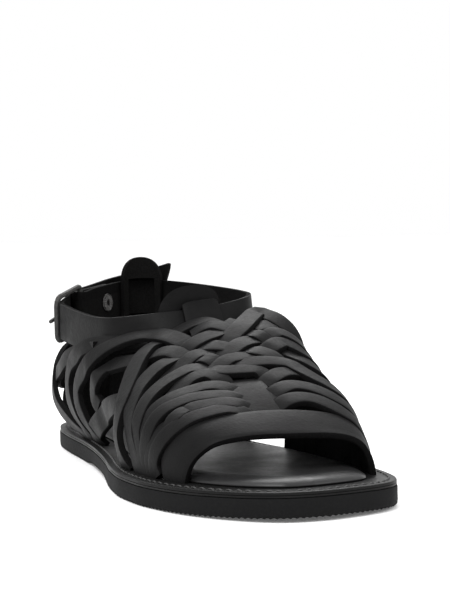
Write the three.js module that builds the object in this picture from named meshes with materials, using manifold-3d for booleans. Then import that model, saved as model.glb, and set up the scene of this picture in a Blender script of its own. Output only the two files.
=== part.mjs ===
// Right huarache sandal: a woven leather upper on a flat rubber sole, with a
// tongue strap, a heel tab and a buckled ankle strap threaded through both.
// Millimetres. +Z up, toe towards -Y, medial side towards +X. Origin under the
// middle of the sole, on the floor.
import * as THREE from "three";
import { mergeVertices } from "three/addons/utils/BufferGeometryUtils.js";
import Module from "manifold-3d";

const wasm = await Module();
wasm.setup();

// ---------------------------------------------------------------- sizes
const GAP = 0.35; // between pieces that meet
const OUTSOLE_T = 7.9; // rubber
const MIDSOLE_T = 2.0; // leather midsole under the stitched flange
const INSOLE_T = 3.6; // footbed
const INSOLE_INSET = 12.4; // footbed edge in from the sole edge
const INSOLE_HEEL = 3.4; // and this much more round the heel
const ARCH_RISE = 1.4; // relief under the arch
const TOE_SPRING = 1.6; // lift of the sole under the toe tip
const SPRING_START = -80; // the toe spring starts ahead of this station
const STRAP_T = 2.4; // strands and side straps
const BAND_T = 2.8; // toe band
const WALL_T = 3.0; // close weave, two strands crossing
const TONGUE_T = 2.2;
const TAB_T = 2.4;
const BELT_T = 2.4; // ankle strap
const BELT_W = 18; // ankle strap width
const FOOT_Z = OUTSOLE_T + MIDSOLE_T + GAP * 2; // strap feet stand here
const FOOT_END = FOOT_Z - 2.5; // straps are drawn down to here and trimmed flush
const HEEL_START = 15; // the woven front ends and the heel walls start here
const HEEL_CENTRE = 1; // centre line of the heel walls

// Outline of the sole, seen from above, one row per station.
const SOLE = [
  { y: -148.6, lateral: -5.0, medial: 3.5 },
  { y: -146.5, lateral: -13.5, medial: 13.5 },
  { y: -142, lateral: -20.9, medial: 27.5 },
  { y: -136, lateral: -27.5, medial: 36.5 },
  { y: -128, lateral: -34.1, medial: 41.8 },
  { y: -115, lateral: -42.0, medial: 45.8 },
  { y: -100, lateral: -47.9, medial: 48.0 },
  { y: -80, lateral: -52.4, medial: 49.0 },
  { y: -62, lateral: -53.4, medial: 48.4 },
  { y: -40, lateral: -51.2, medial: 46.0 },
  { y: -15, lateral: -46.4, medial: 40.5 },
  { y: 10, lateral: -42.2, medial: 36.2 },
  { y: 35, lateral: -39.0, medial: 34.0 },
  { y: 60, lateral: -37.0, medial: 34.6 },
  { y: 85, lateral: -36.0, medial: 36.6 },
  { y: 110, lateral: -34.0, medial: 37.0 },
  { y: 125, lateral: -31.0, medial: 34.2 },
  { y: 135, lateral: -26.5, medial: 29.4 },
  { y: 142, lateral: -20.3, medial: 23.0 },
  { y: 146.5, lateral: -12.6, medial: 15.2 },
  { y: 149, lateral: -4.0, medial: 6.4 },
];

// Outer surface of the woven front over the foot, one row per station:
// foot, shoulder, crest, shoulder and foot of the cross-section.
const INSTEP = [
  { y: -113, latFoot: -33, latX: -27, latZ: 24, topX: 3, topZ: 29.5, medX: 34, medZ: 24, medFoot: 39.5 },
  { y: -98, latFoot: -39, latX: -34, latZ: 28, topX: 2, topZ: 36.5, medX: 38, medZ: 30, medFoot: 43 },
  { y: -80, latFoot: -44, latX: -40, latZ: 31, topX: 1, topZ: 43.5, medX: 42, medZ: 36, medFoot: 45.5 },
  { y: -60, latFoot: -46, latX: -44, latZ: 33, topX: 2, topZ: 50.5, medX: 43.5, medZ: 42, medFoot: 45.5 },
  { y: -40, latFoot: -43.5, latX: -44.5, latZ: 34, topX: 4, topZ: 57.5, medX: 43, medZ: 51, medFoot: 42.5 },
  { y: -20, latFoot: -39.5, latX: -43.5, latZ: 36, topX: 6, topZ: 65, medX: 42, medZ: 61, medFoot: 38.5 },
  { y: 0, latFoot: -36.5, latX: -42, latZ: 38, topX: 9, topZ: 71, medX: 41, medZ: 67, medFoot: 34.5 },
  { y: 15, latFoot: -34, latX: -40, latZ: 40, topX: 10, topZ: 74.5, medX: 39, medZ: 71, medFoot: 32 },
];

// Outer surface of the heel walls, one row per height.
const HEEL = [
  { z: 10, lateral: 34, medial: 31, back: 141 },
  { z: 20, lateral: 40, medial: 35, back: 143.5 },
  { z: 30, lateral: 42, medial: 38, back: 144 },
  { z: 45, lateral: 41.5, medial: 40, back: 142.5 },
  { z: 65, lateral: 41.5, medial: 41, back: 140 },
  { z: 90, lateral: 41.5, medial: 41, back: 138 },
];

// Path of the ankle strap seen from above, with the height of its top edge and
// how far its lower edge leans out: the fold round the buckle's bar, the heel,
// the medial side, the tongue, the lateral side, under the buckle's outer bar
// and on round the heel to the tip.
const ANKLE_STRAP = [
  { x: -3.7, y: 128.4, top: 83.6, lean: 0 },
  { x: -8.0, y: 124.3, top: 83.0, lean: 0 },
  { x: -15.7, y: 117.9, top: 82.0, lean: 0 },
  { x: -24.63, y: 112.68, top: 80.4, lean: 0 },
  { x: -25.55, y: 110.54, top: 80.4, lean: 0 },
  { x: -24.68, y: 108.37, top: 80.4, lean: 0 },
  { x: -22.54, y: 107.45, top: 80.4, lean: 0 },
  { x: -20.37, y: 108.32, top: 80.4, lean: 0 },
  { x: -13.2, y: 115.3, top: 82.0, lean: 0 },
  { x: -6.05, y: 122.3, top: 83.0, lean: 0 },
  { x: 1.2, y: 129.2, top: 84.0, lean: 0 },
  { x: 8, y: 133.4, top: 84.6, lean: 0 },
  { x: 17, y: 134.4, top: 85, lean: 0 },
  { x: 26.5, y: 130.2, top: 84.8, lean: 0 },
  { x: 34, y: 119, top: 84.0, lean: 0 },
  { x: 38.8, y: 98, top: 83.0, lean: 0 },
  { x: 41.0, y: 72, top: 82.0, lean: 0 },
  { x: 41.4, y: 46, top: 81.0, lean: 0 },
  { x: 39.4, y: 28, top: 80.0, lean: 1 },
  { x: 33.5, y: 18.2, top: 78.6, lean: 4 },
  { x: 22, y: 12.8, top: 76.2, lean: 8 },
  { x: 8, y: 10.8, top: 74, lean: 10.5 },
  { x: -7, y: 11.6, top: 72.8, lean: 10 },
  { x: -20, y: 18.2, top: 71.6, lean: 4.5 },
  { x: -28.6, y: 28, top: 70.6, lean: 1 },
  { x: -32.8, y: 44, top: 70.6, lean: 0 },
  { x: -34.8, y: 64, top: 72.0, lean: 0 },
  { x: -36.2, y: 80, top: 73.8, lean: 0 },
  { x: -36.84, y: 92.27, top: 75.7, lean: 0 },
  { x: -30.6, y: 104.2, top: 78.6, lean: 0 },
  { x: -27.7, y: 113.7, top: 81.2, lean: 0 },
  { x: -17.75, y: 120.4, top: 82.4, lean: 0 },
  { x: -10.7, y: 127.2, top: 83.6, lean: 0 },
  { x: -5.4, y: 132.6, top: 84.6, lean: 0 },
  { x: 1, y: 138.4, top: 85.8, lean: 0 },
  { x: 9, y: 141.4, top: 87.4, lean: 0 },
  { x: 18, y: 141.2, top: 89.2, lean: 0 },
  { x: 27, y: 137.0, top: 91.0, lean: 0 },
  { x: 33, y: 130.5, top: 92.6, lean: 0 },
];
const LAP_ROW = 7; // first row of the lap round the ankle
const TONGUE_TAB = { x: 4.5, lower: 10, upper: 12.8, left: 15.8, right: 16.2, slotLeft: 11.6, slotRight: 6.2 };
const HEEL_TAB = { x: 17.5, lower: 6.5, upper: 12.4, left: 14, right: 14, slotLeft: 8.6, slotRight: 8.6 };
const BUCKLE = { x: -22.5, y: 110.5, z: 72.2, wire: 2.8, height: 25, length: 23, drop: 5.5 };
const TAB_GAP = 3.2; // middle of the ankle strap to the middle of a tab's leather
const RIVET = { x: -7.0, y: 123.3, z: 74, shaft: 1.6, head: 4.6 };

// ---------------------------------------------------------------- tables
// A smooth monotone curve through one column of a table.
function column(table, key, name) {
  const xs = table.map((r) => r[key]),
    ys = table.map((r) => r[name]),
    n = xs.length,
    h = [],
    s = [],
    m = [];
  for (let i = 0; i < n - 1; i++) {
    h.push(xs[i + 1] - xs[i]);
    s.push((ys[i + 1] - ys[i]) / h[i]);
  }
  m.push(s[0]);
  for (let i = 1; i < n - 1; i++) {
    const w1 = 2 * h[i] + h[i - 1],
      w2 = h[i] + 2 * h[i - 1];
    m.push(s[i - 1] * s[i] <= 0 ? 0 : (w1 + w2) / (w1 / s[i - 1] + w2 / s[i]));
  }
  m.push(s[n - 2]);
  return (x) => {
    let i = 0;
    while (i < n - 2 && x > xs[i + 1]) i++;
    const t = (Math.min(Math.max(x, xs[0]), xs[n - 1]) - xs[i]) / h[i],
      a = t * t * (3 - 2 * t);
    return ys[i] * (1 - a) + ys[i + 1] * a + h[i] * (m[i] * t * (1 - t) * (1 - t) - m[i + 1] * t * t * (1 - t));
  };
}
const columns = (table, key, names) => names.map((n) => column(table, key, n));
const V = (x, y, z) => new THREE.Vector3(x, y, z);
const lerp = (a, b, t) => a + (b - a) * t;
const range = (a, b, n) => Array.from({ length: n + 1 }, (_, i) => lerp(a, b, i / n));
const smooth = (t) => {
  const c = Math.min(1, Math.max(0, t));
  return c * c * (3 - 2 * c);
};

// ---------------------------------------------------------------- the last
const instepCols = columns(INSTEP, "y", ["latFoot", "latX", "latZ", "topX", "topZ", "medX", "medZ", "medFoot"]);
const sectionCache = new Map();
// One cross-section of the woven front, as points a fixed share of its girth apart.
function section(y) {
  const key = Math.round(y * 50);
  if (sectionCache.has(key)) return sectionCache.get(key);
  const [xl, x1, z1, xc, zc, x2, z2, xm] = instepCols.map((f) => f(y));
  const P = [[xl, FOOT_END], [x1, z1], [xc, zc], [x2, z2], [xm, FOOT_END]];
  const d = [];
  for (let i = 0; i < 4; i++) d.push(Math.pow(Math.hypot(P[i + 1][0] - P[i][0], P[i + 1][1] - P[i][1]), 0.75));
  const M = P.map((p, i) => {
    if (i === 0) return [0, (1.15 * (z1 - FOOT_END)) / d[0]];
    if (i === 4) return [0, (-1.15 * (z2 - FOOT_END)) / d[3]];
    const a = [0, 1].map((k) => (P[i][k] - P[i - 1][k]) / d[i - 1]),
      b = [0, 1].map((k) => (P[i + 1][k] - P[i][k]) / d[i]);
    return [0, 1].map((k) => (a[k] * d[i] + b[k] * d[i - 1]) / (d[i - 1] + d[i]));
  });
  const pts = [];
  for (let i = 0; i < 4; i++)
    for (let j = 0; j <= 20; j++) {
      if (i && !j) continue;
      const t = j / 20,
        a = t * t * (3 - 2 * t);
      pts.push([0, 1].map((k) => P[i][k] * (1 - a) + P[i + 1][k] * a + d[i] * (M[i][k] * t * (1 - t) * (1 - t) - M[i + 1][k] * t * t * (1 - t))));
    }
  const s = [0];
  for (let i = 1; i < pts.length; i++) s.push(s[i - 1] + Math.hypot(pts[i][0] - pts[i - 1][0], pts[i][1] - pts[i - 1][1]));
  const out = { pts, s };
  sectionCache.set(key, out);
  return out;
}
function along(pts, s, at) {
  let i = 1;
  while (i < s.length - 1 && s[i] < at) i++;
  const t = (at - s[i - 1]) / (s[i] - s[i - 1]);
  return pts[i].map((v, k) => lerp(pts[i - 1][k], v, t));
}
// g runs from -1 at the lateral foot over 0 to 1 at the medial foot.
function instepPoint(y, g) {
  const { pts, s } = section(y);
  const [x, z] = along(pts, s, ((g + 1) / 2) * s[s.length - 1]);
  return V(x, y, z);
}
function instep(y, g) {
  const p = instepPoint(y, g),
    a = instepPoint(y, Math.max(-1, g - 0.02)),
    b = instepPoint(y, Math.min(1, g + 0.02)),
    c = instepPoint(y - 1, g),
    e = instepPoint(y + 1, g);
  const n = e.sub(c).cross(b.sub(a)).normalize();
  if (n.dot(V(p.x - 3, 0, p.z - 18)) < 0) n.negate();
  return { p, n };
}
const heelCols = columns(HEEL, "z", ["lateral", "medial", "back"]);
const heelCache = new Map();
function heelSlice(z) {
  const key = Math.round(z * 50);
  if (heelCache.has(key)) return heelCache.get(key);
  const [al, am, yb] = heelCols.map((f) => f(z)),
    pts = [];
  for (let i = -48; i <= 48; i++) {
    const a = (i / 48) * (Math.PI / 2),
      sn = Math.sin(Math.abs(a)),
      cs = Math.max(0, Math.cos(a));
    pts.push([HEEL_CENTRE + Math.sign(i) * (i < 0 ? al : am) * Math.pow(sn, 2 / 2.6), HEEL_START + (yb - HEEL_START) * Math.pow(cs, 2 / 3.6)]);
  }
  const s = [0];
  for (let i = 1; i < pts.length; i++) s.push(s[i - 1] + Math.hypot(pts[i][0] - pts[i - 1][0], pts[i][1] - pts[i - 1][1]));
  const out = { pts, s, mid: s[48] };
  heelCache.set(key, out);
  return out;
}
// u runs from -1 at the lateral start over 0 at the back to 1 at the medial start.
function heelPoint(u, z) {
  const { pts, s, mid } = heelSlice(z);
  const [x, y] = along(pts, s, u < 0 ? (u + 1) * mid : mid + u * (s[s.length - 1] - mid));
  return V(x, y, z);
}
function heel(u, z) {
  const p = heelPoint(u, z),
    t = heelPoint(Math.min(1, u + 0.015), z).sub(heelPoint(Math.max(-1, u - 0.015), z)),
    w = heelPoint(u, z + 1).sub(heelPoint(u, z - 1));
  const n = t.cross(w).normalize();
  if (n.dot(V(p.x - HEEL_CENTRE, Math.max(0, p.y - 70), 0)) < 0) n.negate();
  return { p, n };
}

// ---------------------------------------------------------------- solids
function geometryOf(positions, triangles) {
  const g = new THREE.BufferGeometry();
  g.setAttribute("position", new THREE.Float32BufferAttribute(positions, 3));
  g.setIndex(triangles);
  return g;
}
function toSolid(geometry) {
  const g = geometry.index ? geometry.toNonIndexed() : geometry.clone();
  for (const n of ["normal", "uv"]) if (g.getAttribute(n)) g.deleteAttribute(n);
  const m = mergeVertices(g, 1e-4);
  let s = new wasm.Manifold(new wasm.Mesh({ numProp: 3, vertProperties: m.attributes.position.array, triVerts: new Uint32Array(m.index.array) }));
  if (s.volume() < 0) {
    const t = new Uint32Array(m.index.array);
    for (let i = 0; i < t.length; i += 3) [t[i + 1], t[i + 2]] = [t[i + 2], t[i + 1]];
    s = new wasm.Manifold(new wasm.Mesh({ numProp: 3, vertProperties: m.attributes.position.array, triVerts: t }));
  }
  return s;
}
function toGeometry(solid) {
  const m = solid.getMesh(),
    n = m.numProp,
    p = new Float32Array(m.numVert * 3);
  for (let i = 0; i < m.numVert; i++) p.set(m.vertProperties.subarray(i * n, i * n + 3), i * 3);
  const g = new THREE.BufferGeometry();
  g.setAttribute("position", new THREE.BufferAttribute(p, 3));
  g.setIndex(new THREE.BufferAttribute(new Uint32Array(m.triVerts), 1));
  return g;
}
// Edges shorter than a printer's dot are closed up, where the surface stays closed.
function tidy(geometry, shortest = 0.06) {
  const p = geometry.getAttribute("position");
  let tri = [];
  for (let i = 0; i < geometry.index.count; i += 3) tri.push([0, 1, 2].map((k) => geometry.index.getX(i + k)));
  const at = (i) => V(p.getX(i), p.getY(i), p.getZ(i));
  for (let again = true, kept = new Set(); again; ) {
    again = false;
    const near = new Map();
    for (const t of tri) for (const a of t) for (const b of t) if (a !== b) near.set(a, (near.get(a) || new Set()).add(b));
    search: for (const t of tri)
      for (let k = 0; k < 3; k++) {
        const a = t[k],
          b = t[(k + 1) % 3];
        if (a > b || kept.has(`${a} ${b}`) || at(a).distanceTo(at(b)) > shortest) continue;
        kept.add(`${a} ${b}`);
        if ([...near.get(a)].filter((v) => near.get(b).has(v)).length !== 2) continue;
        tri = tri.map((q) => q.map((v) => (v === b ? a : v))).filter((q) => q[0] !== q[1] && q[1] !== q[2] && q[2] !== q[0]);
        again = true;
        break search;
      }
  }
  return geometryOf(Array.from(p.array), tri.flat());
}
const join = (list) => list.reduce((a, b) => a.add(b));
// A closed body through rings of points that all have the same count.
function loft(rings) {
  const k = rings[0].length,
    pos = [],
    tri = [];
  for (const r of rings) for (const p of r) pos.push(p.x, p.y, p.z);
  for (let i = 0; i < rings.length - 1; i++)
    for (let j = 0; j < k; j++) {
      const a = i * k + j,
        b = i * k + ((j + 1) % k),
        c = a + k,
        d = b + k;
      tri.push(a, b, d, a, d, c);
    }
  const last = (rings.length - 1) * k;
  // The ends are closed across from side to side, so a curved strip's end stays flat.
  for (let j = 0; j < k / 2 - 1; j++) {
    const a = j,
      b = j + 1,
      c = k - 2 - j,
      d = k - 1 - j;
    tri.push(a, c, b, a, d, c);
    tri.push(last + a, last + b, last + c, last + a, last + c, last + d);
  }
  return toSolid(geometryOf(pos, tri));
}
// A leather wall: a grid of surface points, thick towards the inside.
function wall(grid, thick, lift = 0) {
  const R = grid.length,
    C = grid[0].length,
    pos = [],
    tri = [];
  for (const off of [lift, lift - thick])
    for (const row of grid) for (const { p, n } of row) pos.push(p.x + n.x * off, p.y + n.y * off, p.z + n.z * off);
  const id = (side, r, c) => side * R * C + r * C + c;
  for (let r = 0; r < R - 1; r++)
    for (let c = 0; c < C - 1; c++) {
      tri.push(id(0, r, c), id(0, r, c + 1), id(0, r + 1, c + 1), id(0, r, c), id(0, r + 1, c + 1), id(0, r + 1, c));
      tri.push(id(1, r, c), id(1, r + 1, c + 1), id(1, r, c + 1), id(1, r, c), id(1, r + 1, c), id(1, r + 1, c + 1));
    }
  const edge = (a, b) => tri.push(id(0, ...a), id(1, ...a), id(1, ...b), id(0, ...a), id(1, ...b), id(0, ...b));
  for (let c = 0; c < C - 1; c++) {
    edge([0, c], [0, c + 1]);
    edge([R - 1, c + 1], [R - 1, c]);
  }
  for (let r = 0; r < R - 1; r++) {
    edge([r + 1, 0], [r, 0]);
    edge([r, C - 1], [r + 1, C - 1]);
  }
  return toSolid(geometryOf(pos, tri));
}
// A strap over the last, through places given as [y, g] on the instep or [u, z, 1] on the heel walls.
function strap({ path, width, lift = 0, thick = STRAP_T, steps }) {
  const knots = path.map(([a, b, chart, up = 0]) => {
    const q = chart ? heel(a, b) : instep(a, b);
    return { p: q.p.clone().addScaledVector(q.n, up), n: q.n };
  });
  const curve = new THREE.CatmullRomCurve3(knots.map((k) => k.p), false, "centripetal");
  const norms = new THREE.CatmullRomCurve3(knots.map((k) => k.n), false, "catmullrom", 0.5);
  const N = steps || Math.max(4, Math.round(curve.getLength() / 9.5));
  const rings = [];
  for (let i = 0; i <= N; i++) {
    const t = i / N,
      p = curve.getPoint(t),
      T = curve.getTangent(t),
      n = norms.getPoint(t);
    n.addScaledVector(T, -n.dot(T)).normalize();
    const b = T.clone().cross(n).multiplyScalar(width / 2);
    const o = p.clone().addScaledVector(n, lift),
      q = p.clone().addScaledVector(n, lift - thick);
    rings.push([o.clone().add(b), o.clone().sub(b), q.clone().sub(b), q.clone().add(b)]);
  }
  return loft(rings);
}

// ---------------------------------------------------------------- sole
const soleCols = columns(SOLE, "y", ["lateral", "medial"]);
const rise = (y) => TOE_SPRING * Math.pow(Math.max(0, (SPRING_START - y) / 70), 2);
// Outline of the sole moved in by a distance, as lateral and medial edges at stations.
function outline(inset) {
  const ring = [];
  const N = 90;
  const y0 = SOLE[0].y,
    y1 = SOLE[SOLE.length - 1].y;
  const at = (i) => lerp(y0, y1, 0.5 - 0.5 * Math.cos((Math.PI * i) / N));
  for (let i = 0; i <= N; i++) ring.push([soleCols[0](at(i)), at(i)]);
  for (let i = N; i >= 0; i--) ring.push([soleCols[1](at(i)), at(i)]);
  if (!inset) return ring;
  return ring
    .map((p, i) => {
      const d = inset + (inset > 5 ? INSOLE_HEEL * smooth((p[1] - 95) / 40) : 0);
      const a = ring[(i + ring.length - 3) % ring.length],
        b = ring[(i + 3) % ring.length],
        l = Math.hypot(b[0] - a[0], b[1] - a[1]);
      return [p[0] + (d * (b[1] - a[1])) / l, p[1] - (d * (b[0] - a[0])) / l];
    })
    .filter((p) => ring.every((q) => Math.hypot(p[0] - q[0], p[1] - q[1]) > inset - 0.25));
}
function edges(inset) {
  const ring = outline(inset);
  const ys = ring.map((p) => p[1]);
  const lo = Math.min(...ys) + 0.15,
    hi = Math.max(...ys) - 0.15;
  const cross = (y) => {
    const xs = [];
    for (let i = 0; i < ring.length; i++) {
      const a = ring[i],
        b = ring[(i + 1) % ring.length];
      if ((a[1] - y) * (b[1] - y) <= 0 && a[1] !== b[1]) xs.push(lerp(a[0], b[0], (y - a[1]) / (b[1] - a[1])));
    }
    return [Math.min(...xs), Math.max(...xs)];
  };
  return { lo, hi, cross };
}
// A slab between two heights with the outline of the sole, its lower edge drawn in a little.
function slab(inset, bottom, top, bevel, count = 34) {
  const { lo, hi, cross } = edges(inset);
  const rings = [];
  for (let i = 0; i <= count; i++) {
    const y = lerp(lo, hi, 0.5 - 0.5 * Math.cos((Math.PI * i) / count)),
      [a, b] = cross(y),
      zb = bottom(y),
      zt = top(y),
      c = Math.min(bevel, (b - a) / 4);
    rings.push([V(a + c, y, zb), V(a, y, zb + bevel), V(a, y, zt), V(b, y, zt), V(b, y, zb + bevel), V(b - c, y, zb)]);
  }
  return loft(rings);
}
const archRise = (y) => ARCH_RISE * smooth((y + 22) / 18) * smooth((52 - y) / 18);
const outsole = slab(0, (y) => rise(y) + archRise(y), (y) => rise(y) + OUTSOLE_T, 0.9, 40);
const midsole = slab(0.3, (y) => rise(y) + OUTSOLE_T + GAP, (y) => rise(y) + OUTSOLE_T + GAP + MIDSOLE_T, 0.2, 30);
const insole = slab(INSOLE_INSET, (y) => rise(y) + OUTSOLE_T + MIDSOLE_T + GAP * 2, (y) => rise(y) + OUTSOLE_T + MIDSOLE_T + GAP * 2 + INSOLE_T, 0.3, 24);

// ---------------------------------------------------------------- upper
// Toe band: its front and rear edges at places round the girth.
const BAND = [
  { g: -1, front: -99.5, rear: -88 },
  { g: -0.85, front: -101.5, rear: -85.5 },
  { g: -0.65, front: -106.5, rear: -89.5 },
  { g: -0.4, front: -110.5, rear: -94.5 },
  { g: 0, front: -112.5, rear: -96.5 },
  { g: 0.4, front: -113.5, rear: -99.5 },
  { g: 0.7, front: -113.5, rear: -101.5 },
  { g: 1, front: -113.5, rear: -102.5 },
];
const [bandFront, bandRear] = columns(BAND, "g", ["front", "rear"]);
const upperParts = [];
upperParts.push(wall(range(-1, 1, 28).map((g) => range(0, 1, 2).map((t) => instep(lerp(bandFront(g), bandRear(g), t), g))), BAND_T));
// Close weave: the front halves leave the tongue strip open between them.
const STRIP = { lateral: -0.165, medial: 0.09, rear: -64 };
const WEAVE_LOW = [
  { y: -98, lateral: -0.8, medial: 0.62 },
  { y: -80, lateral: -0.78, medial: 0.66 },
  { y: -60, lateral: -0.76, medial: 0.7 },
  { y: -40, lateral: -0.68, medial: 0.66 },
  { y: -25, lateral: -0.46, medial: 0.56 },
  { y: -14, lateral: -0.34, medial: 0.48 },
  { y: -6, lateral: -0.24, medial: 0.38 },
];
const [weaveLat, weaveMed] = columns(WEAVE_LOW, "y", ["lateral", "medial"]);
upperParts.push(wall(range(0, 1, 6).map((t) => range(0, 1, 9).map((s) => {
  const g = lerp(weaveLat(-72), STRIP.lateral, s);
  return instep(lerp(bandRear(g) - 1.5, STRIP.rear + 0.5, t), g);
})), WALL_T, 0.3));
upperParts.push(wall(range(0, 1, 6).map((t) => range(0, 1, 8).map((s) => {
  const g = lerp(STRIP.medial, weaveMed(-80), s);
  return instep(lerp(bandRear(g) - 1.5 + 6.5 * smooth((g - 0.2) / 0.15) , STRIP.rear + 0.5, t), g);
})), WALL_T, 0.3));
upperParts.push(wall(range(-64.5, -7, 9).map((y) => range(0, 1, 16).map((s) => instep(y, lerp(weaveLat(y), weaveMed(y), s)))), WALL_T, 0.3));
// Side straps and strand feet, one row per strap. Places are [y, g] on the
// instep or [u, z, 1] on the heel walls, with an optional lift off the surface.
const SIDE_STRAPS = [
  { name: "foot 1", width: 7.5, path: [[-78, -0.7], [-76, -0.86], [-79, -1]] },
  { name: "foot 2", width: 7.5, path: [[-66, -0.68], [-67, -0.85], [-70, -1]] },
  { name: "foot 3", width: 7.5, path: [[-50, -0.6], [-54, -0.8], [-59.5, -1]] },
  { name: "brace", width: 8, lift: 1.6, path: [[-13, -0.3], [-20, -0.42], [-27, -0.56], [-32, -0.72], [-35, -0.86], [-38, -1]] },
  { name: "brace 2", width: 7.5, path: [[-38, -0.5], [-40, -0.7], [-44, -0.86], [-48.5, -1]] },
  { name: "top strap", width: 8, lift: 0.8, path: [[-24, -0.16], [-12, -0.28], [0, -0.36], [10, -0.42], [-0.95, 55, 1, 0.6], [-0.84, 52.5, 1, 0.6], [-0.72, 49, 1, 0.6], [-0.56, 39, 1, 1.5], [-0.4, 30, 1, 3.5], [-0.2, 25, 1, 2.5], [0.02, 23, 1, 1.2], [0.24, 25, 1, 1], [0.46, 34, 1, 0.6], [0.66, 47, 1, 0.6], [0.84, 54, 1, 0.6], [0.96, 57, 1, 0.6], [8, 0.46], [-3, 0.38], [-14, 0.3]] },
  { name: "front heel strap", width: 7.5, lift: 0.4, path: [[-0.93, 56, 1], [-0.86, 48, 1], [-0.8, 36, 1], [-0.785, 24, 1], [-0.8, 8.5, 1]] },
  { name: "opening strap", width: 7, path: [[-32, -0.42], [-20, -0.5], [-6, -0.55], [6, -0.58], [-0.96, 45, 1], [-0.9, 36, 1], [-0.875, 24, 1], [-0.885, 8.5, 1]] },
  { name: "arch strap", width: 12.5, lift: -1.2, path: [[-30, -0.86], [-12, -0.82], [4, -0.84], [-0.99, 24, 1], [-0.93, 20, 1], [-0.865, 15, 1], [-0.815, 8.5, 1]] },
  { name: "heel strand 1", width: 7.5, lift: 2.4, path: [[0.06, 56, 1], [-0.12, 57, 1], [-0.3, 55, 1], [-0.46, 48, 1], [-0.58, 38, 1], [-0.66, 25, 1], [-0.7, 8.5, 1]] },
  { name: "heel strand 2", width: 7.5, path: [[0.06, 38, 1], [-0.12, 41, 1], [-0.3, 39, 1], [-0.44, 31, 1], [-0.52, 21, 1], [-0.56, 8.5, 1]] },
  { name: "heel strand 3", width: 7.5, lift: 0.6, path: [[-0.84, 53, 1], [-0.72, 56, 1], [-0.6, 52, 1], [-0.48, 40, 1], [-0.4, 27, 1], [-0.36, 8.5, 1]] },
  { name: "heel strand 4", width: 7.5, path: [[0.03, 24, 1], [-0.1, 19, 1], [-0.18, 8.5, 1]] },
];
// The medial side mirrors the lateral one: the same straps with u and g turned round.
const mirrored = (row, extra = {}) => ({ ...row, ...extra, path: row.path.map(([a, b, c, up]) => (c ? [-a, b, c, up] : [a, -b, c, up])) });
const MEDIAL = {
  "foot 1": { path: [[-84, 0.66], [-86, 0.84], [-88.5, 1]] },
  "foot 2": { path: [[-72, 0.66], [-73, 0.84], [-75, 1]] },
  "foot 3": { path: [[-56, 0.64], [-59, 0.82], [-62, 1]] },
  brace: { path: [[-16, 0.42], [-24, 0.56], [-30, 0.72], [-34, 0.86], [-36, 1]] },
  "brace 2": { path: [[-42, 0.56], [-44, 0.74], [-47, 0.88], [-49, 1]] },
  "opening strap": { path: [[-34, 0.46], [-20, 0.54], [-6, 0.6], [6, 0.62], [0.96, 48, 1], [0.9, 38, 1], [0.875, 24, 1], [0.885, 8.5, 1]] },
};
for (const row of SIDE_STRAPS) {
  upperParts.push(strap(row));
  if (row.name === "top strap") continue;
  upperParts.push(strap(MEDIAL[row.name] ? { ...row, path: MEDIAL[row.name].path } : mirrored(row)));
}
// Everything below the flange is trimmed away, following the toe spring.
const flangeLevel = loft(range(-165, 165, 33).map((y) => [V(-90, y, -20), V(-90, y, rise(y) + FOOT_Z), V(90, y, rise(y) + FOOT_Z), V(90, y, -20)]));
let upper = join(upperParts).subtract(flangeLevel);

// ---------------------------------------------------------------- ankle strap and tabs
const beltCurve = new THREE.CatmullRomCurve3(ANKLE_STRAP.map((r) => V(r.x, r.y, r.top)), false, "centripetal");
const leanAt = (t) => {
  const f = t * (ANKLE_STRAP.length - 1),
    i = Math.min(ANKLE_STRAP.length - 2, Math.floor(f));
  return lerp(ANKLE_STRAP[i].lean, ANKLE_STRAP[i + 1].lean, smooth(f - i));
};
// The strap's frame: middle of its width, down its width, out of its face, and along it.
function beltFrame(t) {
  const top = beltCurve.getPoint(t),
    T = beltCurve.getTangent(t),
    l = Math.hypot(T.x, T.y),
    out = V(T.y / l, -T.x / l, 0),
    lean = leanAt(t),
    h = Math.sqrt(BELT_W * BELT_W - lean * lean),
    down = out.clone().multiplyScalar(lean / BELT_W).add(V(0, 0, -h / BELT_W)),
    face = out.clone().multiplyScalar(h / BELT_W).add(V(0, 0, lean / BELT_W));
  return { top, mid: top.clone().addScaledVector(down, BELT_W / 2), down, face, out, T: V(T.x / l, T.y / l, 0) };
}
// The face of the strap points away from the ankle on the whole path.
const lapSign = (() => {
  const f = beltFrame(LAP_ROW / (ANKLE_STRAP.length - 1) + 0.2);
  return f.out.dot(V(f.mid.x - 2, f.mid.y - 72, 0)) > 0 ? 1 : -1;
})();
function beltAt(t, a, b) {
  const f = beltFrame(t);
  const face = f.out.clone().multiplyScalar(lapSign * -f.down.z).add(V(0, 0, Math.hypot(f.down.x, f.down.y)));
  const down = f.out.clone().multiplyScalar(lapSign * Math.hypot(f.down.x, f.down.y)).add(V(0, 0, f.down.z));
  const mid = f.top.clone().addScaledVector(down, BELT_W / 2);
  const up = Math.max(0, a - BELT_W / 2);
  return { p: mid.addScaledVector(down, -(a - up)).addScaledVector(face, b).add(V(0, 0, up)), n: face };
}
function belt(grow) {
  const N = (ANKLE_STRAP.length - 1) * 2,
    half = BELT_T / 2 + grow;
  return loft(range(0, N, N).map((i) => {
    const t = i / N,
      w = (i === N ? 2.5 : i === N - 1 ? 7.2 : BELT_W / 2) + grow;
    return [beltAt(t, w, half).p, beltAt(t, w, -half).p, beltAt(t, -w, -half).p, beltAt(t, -w, half).p];
  }));
}
let ankleStrap = belt(0);
const beltSpace = belt(GAP);
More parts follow.
